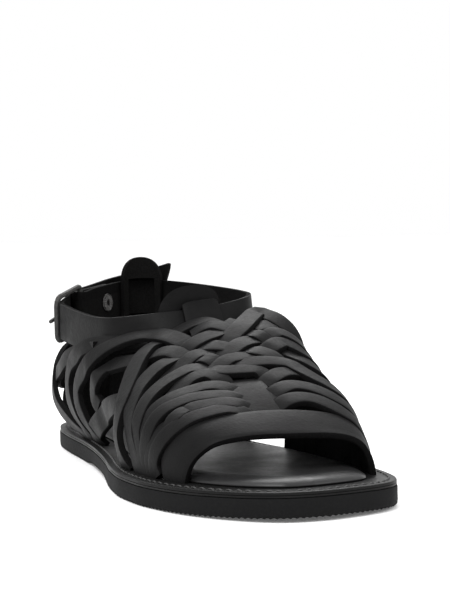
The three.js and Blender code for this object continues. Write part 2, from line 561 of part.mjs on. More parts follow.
// Where the lap round the ankle passes a place across the shoe, and a step along it.
function lapParameter(x, rear) {
  const n = ANKLE_STRAP.length - 1;
  let best = 0,
    d = 1e9;
  for (let i = LAP_ROW * 20; i < (n - 10) * 20; i++) {
    const p = beltCurve.getPoint(i / (n * 20));
    if (rear === p.y > 70 && Math.abs(p.x - x) < d) {
      d = Math.abs(p.x - x);
      best = i / (n * 20);
    }
  }
  return best;
}
function lapStep(t0, mm) {
  let t = t0,
    left = Math.abs(mm);
  const step = mm > 0 ? 1e-3 : -1e-3;
  while (left > 0) {
    const d = beltCurve.getPoint(t).distanceTo(beltCurve.getPoint(t + step));
    if (d >= left) return t + (step * left) / d;
    left -= d;
    t += step;
  }
  return t;
}
// A prism between outlines in the strap's own frame: points are [up its width, out of its face].
function lapPrism(t0, from, to, outlinePts, steps) {
  const flat = outlinePts.map(([a, b]) => new THREE.Vector2(a, b)),
    turn = (q) => Math.sign(THREE.ShapeUtils.area(q)),
    faces = THREE.ShapeUtils.triangulateShape(flat, []).map((f) => (turn(f.map((i) => flat[i])) === turn(flat) ? f : [f[0], f[2], f[1]]));
  const k = outlinePts.length,
    pos = [],
    tri = [];
  range(from, to, steps).forEach((mm) => {
    const t = lapStep(t0, mm);
    for (const [a, b] of outlinePts) {
      const { p } = beltAt(t, a, b);
      pos.push(p.x, p.y, p.z);
    }
  });
  for (let i = 0; i < steps; i++)
    for (let j = 0; j < k; j++) {
      const a = i * k + j,
        b = i * k + ((j + 1) % k);
      tri.push(a, b, b + k, a, b + k, a + k);
    }
  for (const f of faces) {
    tri.push(f[0], f[2], f[1]);
    tri.push(steps * k + f[0], steps * k + f[1], steps * k + f[2]);
  }
  return toSolid(geometryOf(pos, tri));
}
// A tab: leather behind the strap, a rounded top, and a bridge in front of the strap between two slots.
function tab(spec, rear) {
  const t0 = lapParameter(spec.x, rear),
    half = BELT_W / 2,
    W = spec.left + spec.right;
  const cols = range(-spec.left, spec.right, 9).map((mm) => ({ mm, t: lapStep(t0, mm) }));
  const nose = (mm) => {
    const u = (2 * (mm + spec.left)) / W - 1;
    return spec.upper * Math.sqrt(Math.max(0.04, 1 - Math.pow(Math.abs(u), 2.3)));
  };
  const grid = range(0, 1, 6).map((v) => cols.map(({ mm, t }) => beltAt(t, lerp(-half - spec.lower, half + nose(mm), v), -TAB_GAP)));
  let body = wall(grid, TAB_T, TAB_T / 2);
  const slot = half + 0.7;
  const cut = slot + 0.35;
  body = body.subtract(lapPrism(t0, -spec.slotLeft - 0.8, spec.slotRight + 0.8, [[-cut, -TAB_GAP - 3], [cut, -TAB_GAP - 3], [cut, -0.4], [-cut, -0.4]], 5));
  const i = TAB_GAP - TAB_T / 2,
    o = TAB_GAP + TAB_T / 2;
  const bridge = lapPrism(t0, -spec.slotLeft, spec.slotRight, [[-slot - 4, -TAB_GAP], [-slot - 2.6, i], [-slot, o], [slot, o], [slot + 2.6, i], [slot + 4, -TAB_GAP], [slot, -TAB_GAP], [slot, i], [-slot, i], [-slot, -TAB_GAP]], 4);
  return { t0, body: body.add(bridge).subtract(beltSpace) };
}

// ---------------------------------------------------------------- tongue
const tongueTab = tab(TONGUE_TAB, false);
// Strip under the weave, from under the toe band to the foot of the tab.
const TONGUE = [
  { y: -104, left: -9, right: 9, lift: -3.3 },
  { y: -90, left: -11, right: 9.5, lift: -3.6 },
  { y: -76, left: -11.5, right: 8.5, lift: -3.6 },
  { y: -62, left: -10.5, right: 8.5, lift: -3.9 },
  { y: -45, left: -9, right: 11, lift: -4.2 },
  { y: -30, left: -8.5, right: 14, lift: -5 },
  { y: -20, left: -9, right: 16, lift: -6.2 },
];
const crestX = (y, x) => {
  // the place round the girth where the front has this x
  let g = -0.4;
  while (g < 0.6 && instepPoint(y, g).x < x) g += 0.004;
  return instep(y, g);
};
const stripRings = TONGUE.map(({ y, left, right, lift }) => {
  const q = range(0, 1, 4).map((s) => crestX(y, lerp(left, right, s)));
  return [...q.map(({ p, n }) => p.clone().addScaledVector(n, lift)), ...q.reverse().map(({ p, n }) => p.clone().addScaledVector(n, lift - TONGUE_T))];
});
{
  const base = (a, b0) => range(-TONGUE_TAB.left + 1.2, TONGUE_TAB.right - 1.2, 4).map((mm) => beltAt(lapStep(tongueTab.t0, mm), a, b0).p);
  const a = -BELT_W / 2 - TONGUE_TAB.lower + 1.5;
  const order = (list) => (list[0].x < list[4].x ? list : list.reverse());
  stripRings.push([...order(base(a, -TAB_GAP + 0.45)), ...order(base(a, -TAB_GAP - 0.45)).reverse()]);
  stripRings.push([...order(base(a + 2, -TAB_GAP + 0.45)), ...order(base(a + 2, -TAB_GAP - 0.45)).reverse()]);
}
const tongue = loft(stripRings).add(tongueTab.body);

// ---------------------------------------------------------------- heel tab
const heelTab = tab(HEEL_TAB, true);
const HEEL_STRIP = [
  { z: FOOT_END, u: 0.045, half: 9 },
  { z: 22, u: 0.055, half: 9.5 },
  { z: 36, u: 0.07, half: 10.5 },
  { z: 46, u: 0.085, half: 11.5 },
];
const heelRings = HEEL_STRIP.map(({ z, u, half }) => {
  const q = range(-half, half, 6).map((mm) => heel(u + mm / 165, z));
  const lift = -STRAP_T - 1.5;
  return [...q.map(({ p, n }) => p.clone().addScaledVector(n, lift)), ...q.reverse().map(({ p, n }) => p.clone().addScaledVector(n, lift - TAB_T))];
});
{
  const base = (a, b0) => range(-HEEL_TAB.left + 1.5, HEEL_TAB.right - 2, 6).map((mm) => beltAt(lapStep(heelTab.t0, mm), a, b0).p);
  const order = (list) => (list[0].x < list[6].x ? list : list.reverse());
  for (const a of [-BELT_W / 2 - HEEL_TAB.lower + 1.5, -BELT_W / 2 - HEEL_TAB.lower + 3.5]) heelRings.push([...order(base(a, -TAB_GAP + 0.45)), ...order(base(a, -TAB_GAP - 0.45)).reverse()]);
}
const heelPiece = loft(heelRings).add(heelTab.body).subtract(flangeLevel);

// ---------------------------------------------------------------- buckle and rivet
const along2 = V(-0.716, -0.698, -BUCKLE.drop / BUCKLE.length);
const out2 = V(-0.698, 0.716, 0);
const inBuckle = (s, z, b) => V(BUCKLE.x, BUCKLE.y, BUCKLE.z).addScaledVector(along2, s).addScaledVector(out2, b).add(V(0, 0, z));
// A rod of round wire through places in the buckle's frame, closed on itself or not.
function rod(points, radius, loop, sides = 8) {
  const n = points.length,
    rings = [];
  for (let i = 0; i < n; i++) {
    const a = loop ? points[(i + n - 1) % n] : points[Math.max(0, i - 1)],
      b = loop ? points[(i + 1) % n] : points[Math.min(n - 1, i + 1)];
    const T = b.clone().sub(a).normalize(),
      side = Math.abs(T.dot(out2)) > 0.9 ? V(0, 0, 1) : out2.clone(),
      e1 = side.addScaledVector(T, -side.dot(T)).normalize(),
      e2 = T.clone().cross(e1);
    rings.push(range(0, sides - 1, sides - 1).map((k) => points[i].clone().addScaledVector(e1, radius * Math.cos((2 * Math.PI * k) / sides)).addScaledVector(e2, radius * Math.sin((2 * Math.PI * k) / sides))));
  }
  if (!loop) return loft(rings);
  const pos = [],
    tri = [];
  for (const r of rings) for (const p of r) pos.push(p.x, p.y, p.z);
  for (let i = 0; i < n; i++)
    for (let j = 0; j < sides; j++) {
      const a = i * sides + j,
        b = i * sides + ((j + 1) % sides),
        c = ((i + 1) % n) * sides + j,
        d = ((i + 1) % n) * sides + ((j + 1) % sides);
      tri.push(a, b, d, a, d, c);
    }
  return toSolid(geometryOf(pos, tri));
}
const R = 4,
  L = BUCKLE.length,
  H = BUCKLE.height / 2 - BUCKLE.wire / 2;
const framePath = [];
for (const [cs, cz, a0] of [[L - R, H - R, 90], [L - R, -H + R, 0], [R * 0.5, -H + R * 0.5, -90], [R * 0.5, H - R * 0.5, 180]]) {
  const r = cs > R ? R : R * 0.5;
  for (const k of [0, 30, 60, 90]) {
    const a = ((a0 - k) * Math.PI) / 180;
    framePath.push(inBuckle(cs + r * Math.cos(a), cz + r * Math.sin(a), 0));
  }
}
const buckleFrame = rod(framePath, BUCKLE.wire / 2, true);
const prongPath = [[-1.6, -2.3], [0.4, -2.9], [2.4, -1.7], [2.9, 0.6], [2.2, 2.7], [6, 3.3], [14, 3.1], [L - 1, 2.95], [L + 2.2, 2.5]];
const prongAt = (grow) => rod(prongPath.map(([s, b]) => inBuckle(s, 0, b)), 1.0 + grow, false, 6);
const bucklePin = prongAt(0);
const r0 = V(0.698, -0.716, 0);
function disc(radius, from, to) {
  const pts = [new THREE.Vector2(0, from), new THREE.Vector2(radius, from), new THREE.Vector2(radius, to), new THREE.Vector2(0, to)];
  const g = new THREE.LatheGeometry(pts, 20);
  const up = r0.clone(),
    e1 = V(0, 0, 1),
    e2 = up.clone().cross(e1);
  g.applyMatrix4(new THREE.Matrix4().makeBasis(e1, up, e2).setPosition(RIVET.x, RIVET.y, RIVET.z));
  return toSolid(g);
}
// The strap's slot round the prong and hole for it, and the rivet's hole.
const slotCut = (() => {
  const c = [[-5.5, -5.2], [4.4, -5.2], [4.4, 4.3], [-5.5, 4.3]];
  return loft([c.map(([s, b]) => inBuckle(s, -2.1, b)), c.map(([s, b]) => inBuckle(s, 2.1, b))]);
})();
ankleStrap = ankleStrap.subtract(slotCut).subtract(prongAt(0.75)).subtract(disc(RIVET.shaft + 0.35, -3.9, 3.9));
const rivet = disc(RIVET.shaft, -3.3, 3.3).add(disc(RIVET.head, 3.0, 4.0)).add(disc(RIVET.head - 1.2, -3.65, -3.05));

// ---------------------------------------------------------------- export
const LEATHER = { color: 0x2b2a2a, roughness: 0.55, metalness: 0 };
const RUBBER = { color: 0x262626, roughness: 0.8, metalness: 0 };
const STEEL = { color: 0x9a9a98, roughness: 0.3, metalness: 1 };
const foot = outsole.boundingBox();
const SHIFT = [-(foot.min[0] + foot.max[0]) / 2, -(foot.min[1] + foot.max[1]) / 2, -foot.min[2]];
const part = new THREE.Group();
part.name = "huarache_sandal";
function piece(name, solid, look) {
  const g = tidy(toGeometry(solid)).toNonIndexed();
  g.translate(...SHIFT);
  g.computeVertexNormals();
  const m = new THREE.Mesh(g, new THREE.MeshStandardMaterial(look));
  m.name = name;
  part.add(m);
}
piece("outsole", outsole, RUBBER);
piece("midsole", midsole, LEATHER);
piece("insole", insole, LEATHER);
piece("upper", upper, LEATHER);
piece("tongue", tongue, LEATHER);
piece("heel_tab", heelPiece, LEATHER);
piece("ankle_strap", ankleStrap, LEATHER);
piece("buckle_frame", buckleFrame, STEEL);
piece("buckle_prong", bucklePin, STEEL);
piece("rivet", rivet, STEEL);

export default part;
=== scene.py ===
"""Looks of the right huarache sandal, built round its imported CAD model.

Everything is modelled in the CAD's millimetres and turned to metres when a mesh is made.
The same short tables that shape the CAD (sole outline, last, heel walls, ankle strap) shape the straps here."""

import math

import bpy
import numpy as np
from mathutils import Matrix, Vector


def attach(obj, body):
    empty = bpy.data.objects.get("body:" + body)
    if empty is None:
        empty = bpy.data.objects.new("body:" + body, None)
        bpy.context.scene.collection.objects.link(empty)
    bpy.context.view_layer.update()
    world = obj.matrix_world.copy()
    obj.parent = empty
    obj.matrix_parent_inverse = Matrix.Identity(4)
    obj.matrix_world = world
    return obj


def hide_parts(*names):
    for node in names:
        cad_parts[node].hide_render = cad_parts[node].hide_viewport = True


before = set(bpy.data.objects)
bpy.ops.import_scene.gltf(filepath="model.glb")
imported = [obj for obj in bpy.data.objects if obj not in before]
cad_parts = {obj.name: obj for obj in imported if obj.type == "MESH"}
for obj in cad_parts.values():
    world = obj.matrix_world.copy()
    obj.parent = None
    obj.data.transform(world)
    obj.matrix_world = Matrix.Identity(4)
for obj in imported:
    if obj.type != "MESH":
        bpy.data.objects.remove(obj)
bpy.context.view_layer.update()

SHIFT = np.array([2.2, -0.2, 0.0])  # the CAD's origin is under the middle of the sole

# ------------------------------------------------------------------ sizes
OUTSOLE_T, MIDSOLE_T, INSOLE_T, GAP = 7.9, 2.0, 3.6, 0.35
INSOLE_INSET, INSOLE_HEEL = 12.4, 3.4
TOE_SPRING, SPRING_START, ARCH_RISE = 1.6, -80.0, 1.4
FOOT_Z = OUTSOLE_T + MIDSOLE_T + 2 * GAP
FOOT_END = FOOT_Z - 2.5
HEEL_START, HEEL_CENTRE = 15.0, 1.0
STRAND = 2.8  # thickness of the strands
BELT_T, BELT_W = 2.4, 18.0

SOLE = np.array([  # y, lateral, medial
    (-148.6, -5.0, 3.5), (-146.5, -13.5, 13.5), (-142, -20.9, 27.5), (-136, -27.5, 36.5), (-128, -34.1, 41.8),
    (-115, -42.0, 45.8), (-100, -47.9, 48.0), (-80, -52.4, 49.0), (-62, -53.4, 48.4), (-40, -51.2, 46.0),
    (-15, -46.4, 40.5), (10, -42.2, 36.2), (35, -39.0, 34.0), (60, -37.0, 34.6), (85, -36.0, 36.6),
    (110, -34.0, 37.0), (125, -31.0, 34.2), (135, -26.5, 29.4), (142, -20.3, 23.0), (146.5, -12.6, 15.2), (149, -4.0, 6.4)])
INSTEP = np.array([  # y, latFoot, latX, latZ, topX, topZ, medX, medZ, medFoot
    (-113, -33, -27, 24, 3, 29.5, 34, 24, 39.5), (-98, -39, -34, 28, 2, 36.5, 38, 30, 43),
    (-80, -44, -40, 31, 1, 43.5, 42, 36, 45.5), (-60, -46, -44, 33, 2, 50.5, 43.5, 42, 45.5),
    (-40, -43.5, -44.5, 34, 4, 57.5, 43, 51, 42.5), (-20, -39.5, -43.5, 36, 6, 65, 42, 61, 38.5),
    (0, -36.5, -42, 38, 9, 71, 41, 67, 34.5), (15, -34, -40, 40, 10, 74.5, 39, 71, 32)])
HEEL = np.array([  # z, lateral, medial, back
    (10, 34, 31, 141), (20, 40, 35, 143.5), (30, 42, 38, 144), (45, 41.5, 40, 142.5), (65, 41.5, 41, 140), (90, 41.5, 41, 138)])
ANKLE = np.array([  # x, y, top, lean
    (-3.7, 128.4, 83.6, 0), (-8.0, 124.3, 83.0, 0), (-15.7, 117.9, 82.0, 0), (-24.63, 112.68, 80.4, 0), (-25.55, 110.54, 80.4, 0),
    (-24.68, 108.37, 80.4, 0), (-22.54, 107.45, 80.4, 0), (-20.37, 108.32, 80.4, 0), (-13.2, 115.3, 82.0, 0), (-6.05, 122.3, 83.0, 0),
    (1.2, 129.2, 84.0, 0), (8, 133.4, 84.6, 0), (17, 134.4, 85, 0), (26.5, 130.2, 84.8, 0), (34, 119, 84.0, 0), (38.8, 98, 83.0, 0),
    (41.0, 72, 82.0, 0), (41.4, 46, 81.0, 0), (39.4, 28, 80.0, 1), (33.5, 18.2, 78.6, 4), (22, 12.8, 76.2, 8), (8, 10.8, 74, 10.5),
    (-7, 11.6, 72.8, 10), (-20, 18.2, 71.6, 4.5), (-28.6, 28, 70.6, 1), (-32.8, 44, 70.6, 0), (-34.8, 64, 72.0, 0), (-36.2, 80, 73.8, 0),
    (-36.84, 92.27, 75.7, 0), (-30.6, 104.2, 78.6, 0), (-27.7, 113.7, 81.2, 0), (-17.75, 120.4, 82.4, 0), (-10.7, 127.2, 83.6, 0),
    (-5.4, 132.6, 84.6, 0), (1, 138.4, 85.8, 0), (9, 141.4, 87.4, 0), (18, 141.2, 89.2, 0), (27, 137.0, 91.0, 0), (33, 130.5, 92.6, 0)])
TONGUE_TAB = dict(x=4.5, lower=10, upper=12.8, left=15.8, right=16.2, slot_left=11.6, slot_right=5.4)
HEEL_TAB = dict(x=17.5, lower=6.5, upper=12.4, left=14, right=14, slot_left=8.6, slot_right=8.6)
TAB_GAP, TAB_T = 3.2, 2.4


def smooth(t):
    t = np.clip(t, 0, 1)
    return t * t * (3 - 2 * t)


def column(xs, ys):
    """A smooth monotone curve through one column of a table."""
    xs, ys = np.asarray(xs, float), np.asarray(ys, float)
    h = np.diff(xs)
    s = np.diff(ys) / h
    m = [s[0]]
    for i in range(1, len(xs) - 1):
        w1, w2 = 2 * h[i] + h[i - 1], h[i] + 2 * h[i - 1]
        m.append(0.0 if s[i - 1] * s[i] <= 0 else (w1 + w2) / (w1 / s[i - 1] + w2 / s[i]))
    m.append(s[-1])
    m = np.array(m)

    def f(x):
        x = np.clip(x, xs[0], xs[-1])
        i = np.clip(np.searchsorted(xs, x, side="left") - 1, 0, len(xs) - 2)
        t = (x - xs[i]) / h[i]
        a = t * t * (3 - 2 * t)
        return ys[i] * (1 - a) + ys[i + 1] * a + h[i] * (m[i] * t * (1 - t) ** 2 - m[i + 1] * t * t * (1 - t))

    return f


INSTEP_COLS = [column(INSTEP[:, 0], INSTEP[:, k]) for k in range(1, 9)]
_sections = {}


def section(y):
    key = round(float(y) * 20)
    if key in _sections:
        return _sections[key]
    y = key / 20
    xl, x1, z1, xc, zc, x2, z2, xm = [float(f(y)) for f in INSTEP_COLS]
    P = np.array([(xl, FOOT_END), (x1, z1), (xc, zc), (x2, z2), (xm, FOOT_END)])
    d = np.linalg.norm(np.diff(P, axis=0), axis=1) ** 0.75
    M = [np.array([0, 1.15 * (z1 - FOOT_END) / d[0]])]
    for i in (1, 2, 3):
        a, b = (P[i] - P[i - 1]) / d[i - 1], (P[i + 1] - P[i]) / d[i]
        M.append((a * d[i] + b * d[i - 1]) / (d[i - 1] + d[i]))
    M.append(np.array([0, -1.15 * (z2 - FOOT_END) / d[3]]))
    pts = []
    for i in range(4):
        for j in range(21):
            if i and not j:
                continue
            t = j / 20
            a = t * t * (3 - 2 * t)
            pts.append(P[i] * (1 - a) + P[i + 1] * a + d[i] * (M[i] * t * (1 - t) ** 2 - M[i + 1] * t * t * (1 - t)))
    pts = np.array(pts)
    s = np.r_[0, np.cumsum(np.linalg.norm(np.diff(pts, axis=0), axis=1))]
    _sections[key] = (pts, s)
    return pts, s


def instep_point(y, g):
    """g runs from -1 at the lateral foot over 0 to 1 at the medial foot."""
    lo = math.floor(y * 20) / 20
    w = (y - lo) * 20
    out = []
    for yy in (lo, lo + 0.05):
        pts, s = section(yy)
        at = (g + 1) / 2 * s[-1]
        out.append([np.interp(at, s, pts[:, 0]), np.interp(at, s, pts[:, 1])])
    x, z = np.array(out[0]) * (1 - w) + np.array(out[1]) * w
    return np.array([x, y, z])


def instep(y, g):
    p = instep_point(y, g)
    a, b = instep_point(y, max(-1, g - 0.02)), instep_point(y, min(1, g + 0.02))
    c, e = instep_point(y - 1, g), instep_point(y + 1, g)
    n = np.cross(e - c, b - a)
    n /= np.linalg.norm(n)
    if n @ np.array([p[0] - 3, 0, p[2] - 18]) < 0:
        n = -n
    return p, n


HEEL_COLS = [column(HEEL[:, 0], HEEL[:, k]) for k in (1, 2, 3)]
_slices = {}


def heel_slice(z):
    key = round(float(z) * 20)
    if key in _slices:
        return _slices[key]
    al, am, yb = [float(f(key / 20)) for f in HEEL_COLS]
    i = np.arange(-96, 97)
    a = i / 96 * math.pi / 2
    sn, cs = np.sin(np.abs(a)), np.clip(np.cos(a), 0, None)
    pts = np.c_[HEEL_CENTRE + np.sign(i) * np.where(i < 0, al, am) * sn ** (2 / 2.6), HEEL_START + (yb - HEEL_START) * cs ** (2 / 3.6)]
    s = np.r_[0, np.cumsum(np.linalg.norm(np.diff(pts, axis=0), axis=1))]
    _slices[key] = (pts, s)
    return pts, s


def heel_point(u, z):
    """u runs from -1 at the lateral start over 0 at the back to 1 at the medial start."""
    pts, s = heel_slice(z)
    mid = s[96]
    at = (u + 1) * mid if u < 0 else mid + u * (s[-1] - mid)
    return np.array([np.interp(at, s, pts[:, 0]), np.interp(at, s, pts[:, 1]), z])


def heel(u, z):
    p = heel_point(u, z)
    t = heel_point(min(1, u + 0.015), z) - heel_point(max(-1, u - 0.015), z)
    w = heel_point(u, z + 1) - heel_point(u, z - 1)
    n = np.cross(t, w)
    n /= np.linalg.norm(n)
    if n @ np.array([p[0] - HEEL_CENTRE, max(0, p[1] - 70), 0]) < 0:
        n = -n
    return p, n


def rise(y):
    return TOE_SPRING * np.clip((SPRING_START - y) / 70, 0, None) ** 2


def arch_rise(y):
    return ARCH_RISE * smooth((y + 22) / 18) * smooth((52 - y) / 18)


# ------------------------------------------------------------------ curves
def spline(P, step=None, count=None):
    """Centripetal Catmull-Rom through the points, resampled at equal steps. P may hold extra columns after x, y, z."""
    P = np.asarray(P, float)
    A = np.vstack([2 * P[0] - P[1], P, 2 * P[-1] - P[-2]])
    out = []
    for i in range(1, len(A) - 2):
        p0, p1, p2, p3 = A[i - 1], A[i], A[i + 1], A[i + 2]
        d = [max(1e-4, np.linalg.norm(b[:3] - a[:3]) ** 0.5) for a, b in ((p0, p1), (p1, p2), (p2, p3))]
        t = np.linspace(0, 1, 24, endpoint=False)[:, None]
        m1 = (p1 - p0) / d[0] - (p2 - p0) / (d[0] + d[1]) + (p2 - p1) / d[1]
        m2 = (p2 - p1) / d[1] - (p3 - p1) / (d[1] + d[2]) + (p3 - p2) / d[2]
        m1, m2 = m1 * d[1], m2 * d[1]
        out.append((2 * t**3 - 3 * t**2 + 1) * p1 + (t**3 - 2 * t**2 + t) * m1 + (-2 * t**3 + 3 * t**2) * p2 + (t**3 - t**2) * m2)
    out.append(P[-1][None])
    Q = np.vstack(out)
    s = np.r_[0, np.cumsum(np.linalg.norm(np.diff(Q[:, :3], axis=0), axis=1))]
    n = count or max(4, int(round(s[-1] / step)))
    at = np.linspace(0, s[-1], n + 1)
    return np.c_[tuple(np.interp(at, s, Q[:, k]) for k in range(Q.shape[1]))], at


def unit(v):
    return v / np.linalg.norm(v, axis=-1, keepdims=True)


# ------------------------------------------------------------------ meshes
class Soup:
    """Vertices and faces gathered for one object, with a material number per face."""

    def __init__(self):
        self.v, self.f, self.m, self.n = [], [], [], 0

    def add(self, verts, faces, mats):
        self.v.append(np.asarray(verts, float))
        self.f += [[i + self.n for i in f] for f in faces]
        self.m += list(mats)
        self.n += len(verts)

    def make(self, name, materials, body="root", smooth_angle=38):
        me = bpy.data.meshes.new(name)
        v = (np.vstack(self.v) + SHIFT) / 1000
        me.from_pydata(v.tolist(), [], self.f)
        me.polygons.foreach_set("material_index", self.m)
        me.polygons.foreach_set("use_smooth", [True] * len(me.polygons))
        me.update()
        me.set_sharp_from_angle(angle=math.radians(smooth_angle))
        o = bpy.data.objects.new(name, me)
        bpy.context.scene.collection.objects.link(o)
        for m in materials:
            me.materials.append(m)
        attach(o, body)
        return o


def profile(width, thick, crown=0.22, corner=0.38):
    """Cross-section of a leather strap, counter-clockwise: [across, out of the face, material]."""
    w, t = width / 2, thick / 2
    c = min(corner, t * 0.6)
    top = [(-w + c * 1.5, t - 0.02, 0), (-w * 0.62, t + crown * 0.62, 0), (-w * 0.25, t + crown * 0.94, 0), (w * 0.25, t + crown * 0.94, 0), (w * 0.62, t + crown * 0.62, 0), (w - c * 1.5, t - 0.02, 0)]
    right = [(w - c * 0.45, t - c * 0.3, 0), (w, t - c * 0.95, 1), (w + 0.03, -t + c * 0.8, 1)]
    under = [(w - c * 0.5, -t + 0.05, 1), (w * 0.4, -t, 2), (-w * 0.4, -t, 2), (-w + c * 0.5, -t + 0.05, 2)]
    left = [(-w - 0.03, -t + c * 0.8, 1), (-w, t - c * 0.95, 1), (-w + c * 0.45, t - c * 0.3, 1)]
    return top + right + under + left


def ribbon(soup, P, N, width, thick, crown=0.22, twist=None, wave=0.0, seed=0, taper=None):
    """A strap along the points P with face normals N; width may be one number or one per point."""
    n = len(P)
    T = np.gradient(P, axis=0)
    T = unit(T)
    N = N - (N * T).sum(1)[:, None] * T
    N = unit(N)
    B = np.cross(T, N)
    W = np.full(n, float(width)) if np.isscalar(width) else np.asarray(width, float)
    if wave:
        s = np.r_[0, np.cumsum(np.linalg.norm(np.diff(P, axis=0), axis=1))]
        W = W + wave * (np.sin(s / 7.3 + seed * 1.7) * 0.6 + np.sin(s / 2.9 + seed * 2.3) * 0.4)
    V, F, M = [], [], []
    k = None
    for i in range(n):
        pr = profile(W[i], thick, crown)
        k = len(pr)
        V += [P[i] + B[i] * a + N[i] * b for a, b, _ in pr]
    mats = [pr[j][2] for j in range(k)]
    for i in range(n - 1):
        for j in range(k):
            a, b = i * k + j, i * k + (j + 1) % k
            F.append([a, a + k, b + k, b])
            M.append(mats[j])
    F.append(list(range(k)))
    F.append([(n - 1) * k + j for j in range(k)][::-1])
    M += [1, 1]
    soup.add(V, F, M)


def chart_curve(path, width, lift=0.0, step=1.7):
    """Points and normals along places given as [y, g] on the instep or [u, z, 1] on the heel walls, with an optional height."""
    rows = []
    for q in path:
        on_heel = len(q) > 2 and q[2]
        up = q[3] if len(q) > 3 else 0
        p, n = heel(q[0], q[1]) if on_heel else instep(q[0], q[1])
        rows.append(np.r_[p, n, up])
    Q, s = spline(rows, step=step)
    N = unit(Q[:, 3:6])
    return Q[:, :3] + N * (Q[:, 6] + lift)[:, None], N, s


# ------------------------------------------------------------------ materials
def nodes_of(name):
    m = bpy.data.materials.new(name)
    m.use_nodes = True
    nt = m.node_tree
    nt.nodes.clear()
    out = nt.nodes.new("ShaderNodeOutputMaterial")
    b = nt.nodes.new("ShaderNodeBsdfPrincipled")
    nt.links.new(b.outputs[0], out.inputs[0])
    return m, nt, b


def noise(nt, co, scale, detail=4, rough=0.55, dist=0.0):
    n = nt.nodes.new("ShaderNodeTexNoise")
    n.inputs["Scale"].default_value = scale
    n.inputs["Detail"].default_value = detail
    n.inputs["Roughness"].default_value = rough
    n.inputs["Distortion"].default_value = dist
    nt.links.new(co, n.inputs["Vector"])
    return n.outputs["Fac"]


def voronoi(nt, co, scale, feature="F1"):
    n = nt.nodes.new("ShaderNodeTexVoronoi")
    n.feature = feature
    n.inputs["Scale"].default_value = scale
    nt.links.new(co, n.inputs["Vector"])
    return n.outputs["Distance"]


def ramp(nt, fac, lo, hi, a, b):
    n = nt.nodes.new("ShaderNodeMapRange")
    n.inputs["From Min"].default_value = lo
    n.inputs["From Max"].default_value = hi
    n.inputs["To Min"].default_value = a
    n.inputs["To Max"].default_value = b
    nt.links.new(fac, n.inputs["Value"])
    return n.outputs["Result"]


def mix_colour(nt, fac, a, b):
    n = nt.nodes.new("ShaderNodeMix")
    n.data_type = "RGBA"
    n.inputs["A"].default_value = (*a, 1)
    n.inputs["B"].default_value = (*b, 1)
    nt.links.new(fac, n.inputs["Factor"])
    return n.outputs["Result"]


def bump(nt, height, dist, strength=1.0, normal=None):
    n = nt.nodes.new("ShaderNodeBump")
    n.inputs["Distance"].default_value = dist
    n.inputs["Strength"].default_value = strength
    nt.links.new(height, n.inputs["Height"])
    if normal is not None:
        nt.links.new(normal, n.inputs["Normal"])
    return n.outputs["Normal"]


def leather(name, dark, light, rough=(0.42, 0.56), grain=900, depth=0.00006, spec=0.42, sheen=0.0):
    m, nt, b = nodes_of(name)
    co = nt.nodes.new("ShaderNodeTexCoord").outputs["Object"]
    cloud = noise(nt, co, 55, 3, 0.6, 0.4)
    fine = noise(nt, co, 700, 3, 0.6)
    b.inputs["Base Color"].default_value = (*dark, 1)
    nt.links.new(mix_colour(nt, ramp(nt, cloud, 0.32, 0.7, 0, 1), dark, light), b.inputs["Base Color"])
    add = nt.nodes.new("ShaderNodeMath")
    add.operation = "ADD"
    nt.links.new(ramp(nt, cloud, 0.3, 0.7, rough[0], rough[1]), add.inputs[0])
    nt.links.new(ramp(nt, fine, 0.3, 0.7, -0.03, 0.05), add.inputs[1])
    nt.links.new(add.outputs[0], b.inputs["Roughness"])
    pores = voronoi(nt, co, grain, "F1")
    n1 = bump(nt, pores, depth, 0.55)
    n2 = bump(nt, fine, depth * 1.4, 0.5, n1)
    n3 = bump(nt, noise(nt, co, 160, 2, 0.5, 0.6), 0.00025, 0.35, n2)
    nt.links.new(n3, b.inputs["Normal"])
    b.inputs["Specular IOR Level"].default_value = spec
    if sheen:
        b.inputs["Sheen Weight"].default_value = sheen
        b.inputs["Sheen Roughness"].default_value = 0.45
    return m


def fibre(name, dark, light, rough=0.82):
    """Raw cut edge or flesh side of the leather."""
    m, nt, b = nodes_of(name)
    co = nt.nodes.new("ShaderNodeTexCoord").outputs["Object"]
    f = noise(nt, co, 1400, 5, 0.7)
    nt.links.new(mix_colour(nt, ramp(nt, f, 0.35, 0.68, 0, 1), dark, light), b.inputs["Base Color"])
    b.inputs["Roughness"].default_value = rough
    b.inputs["Specular IOR Level"].default_value = 0.03
    nt.links.new(bump(nt, f, 0.00012, 0.6), b.inputs["Normal"])
    return m


def rubber(name):
    m, nt, b = nodes_of(name)
    co = nt.nodes.new("ShaderNodeTexCoord").outputs["Object"]
    f = noise(nt, co, 900, 4, 0.6)
    specks = voronoi(nt, co, 420)
    nt.links.new(mix_colour(nt, ramp(nt, f, 0.35, 0.7, 0, 1), (0.0048, 0.0048, 0.005), (0.0078, 0.0078, 0.008)), b.inputs["Base Color"])
    nt.links.new(ramp(nt, f, 0.3, 0.7, 0.66, 0.82), b.inputs["Roughness"])
    b.inputs["Specular IOR Level"].default_value = 0.08
    nt.links.new(bump(nt, specks, 0.00008, 0.35, bump(nt, f, 0.0001, 0.5)), b.inputs["Normal"])
    return m


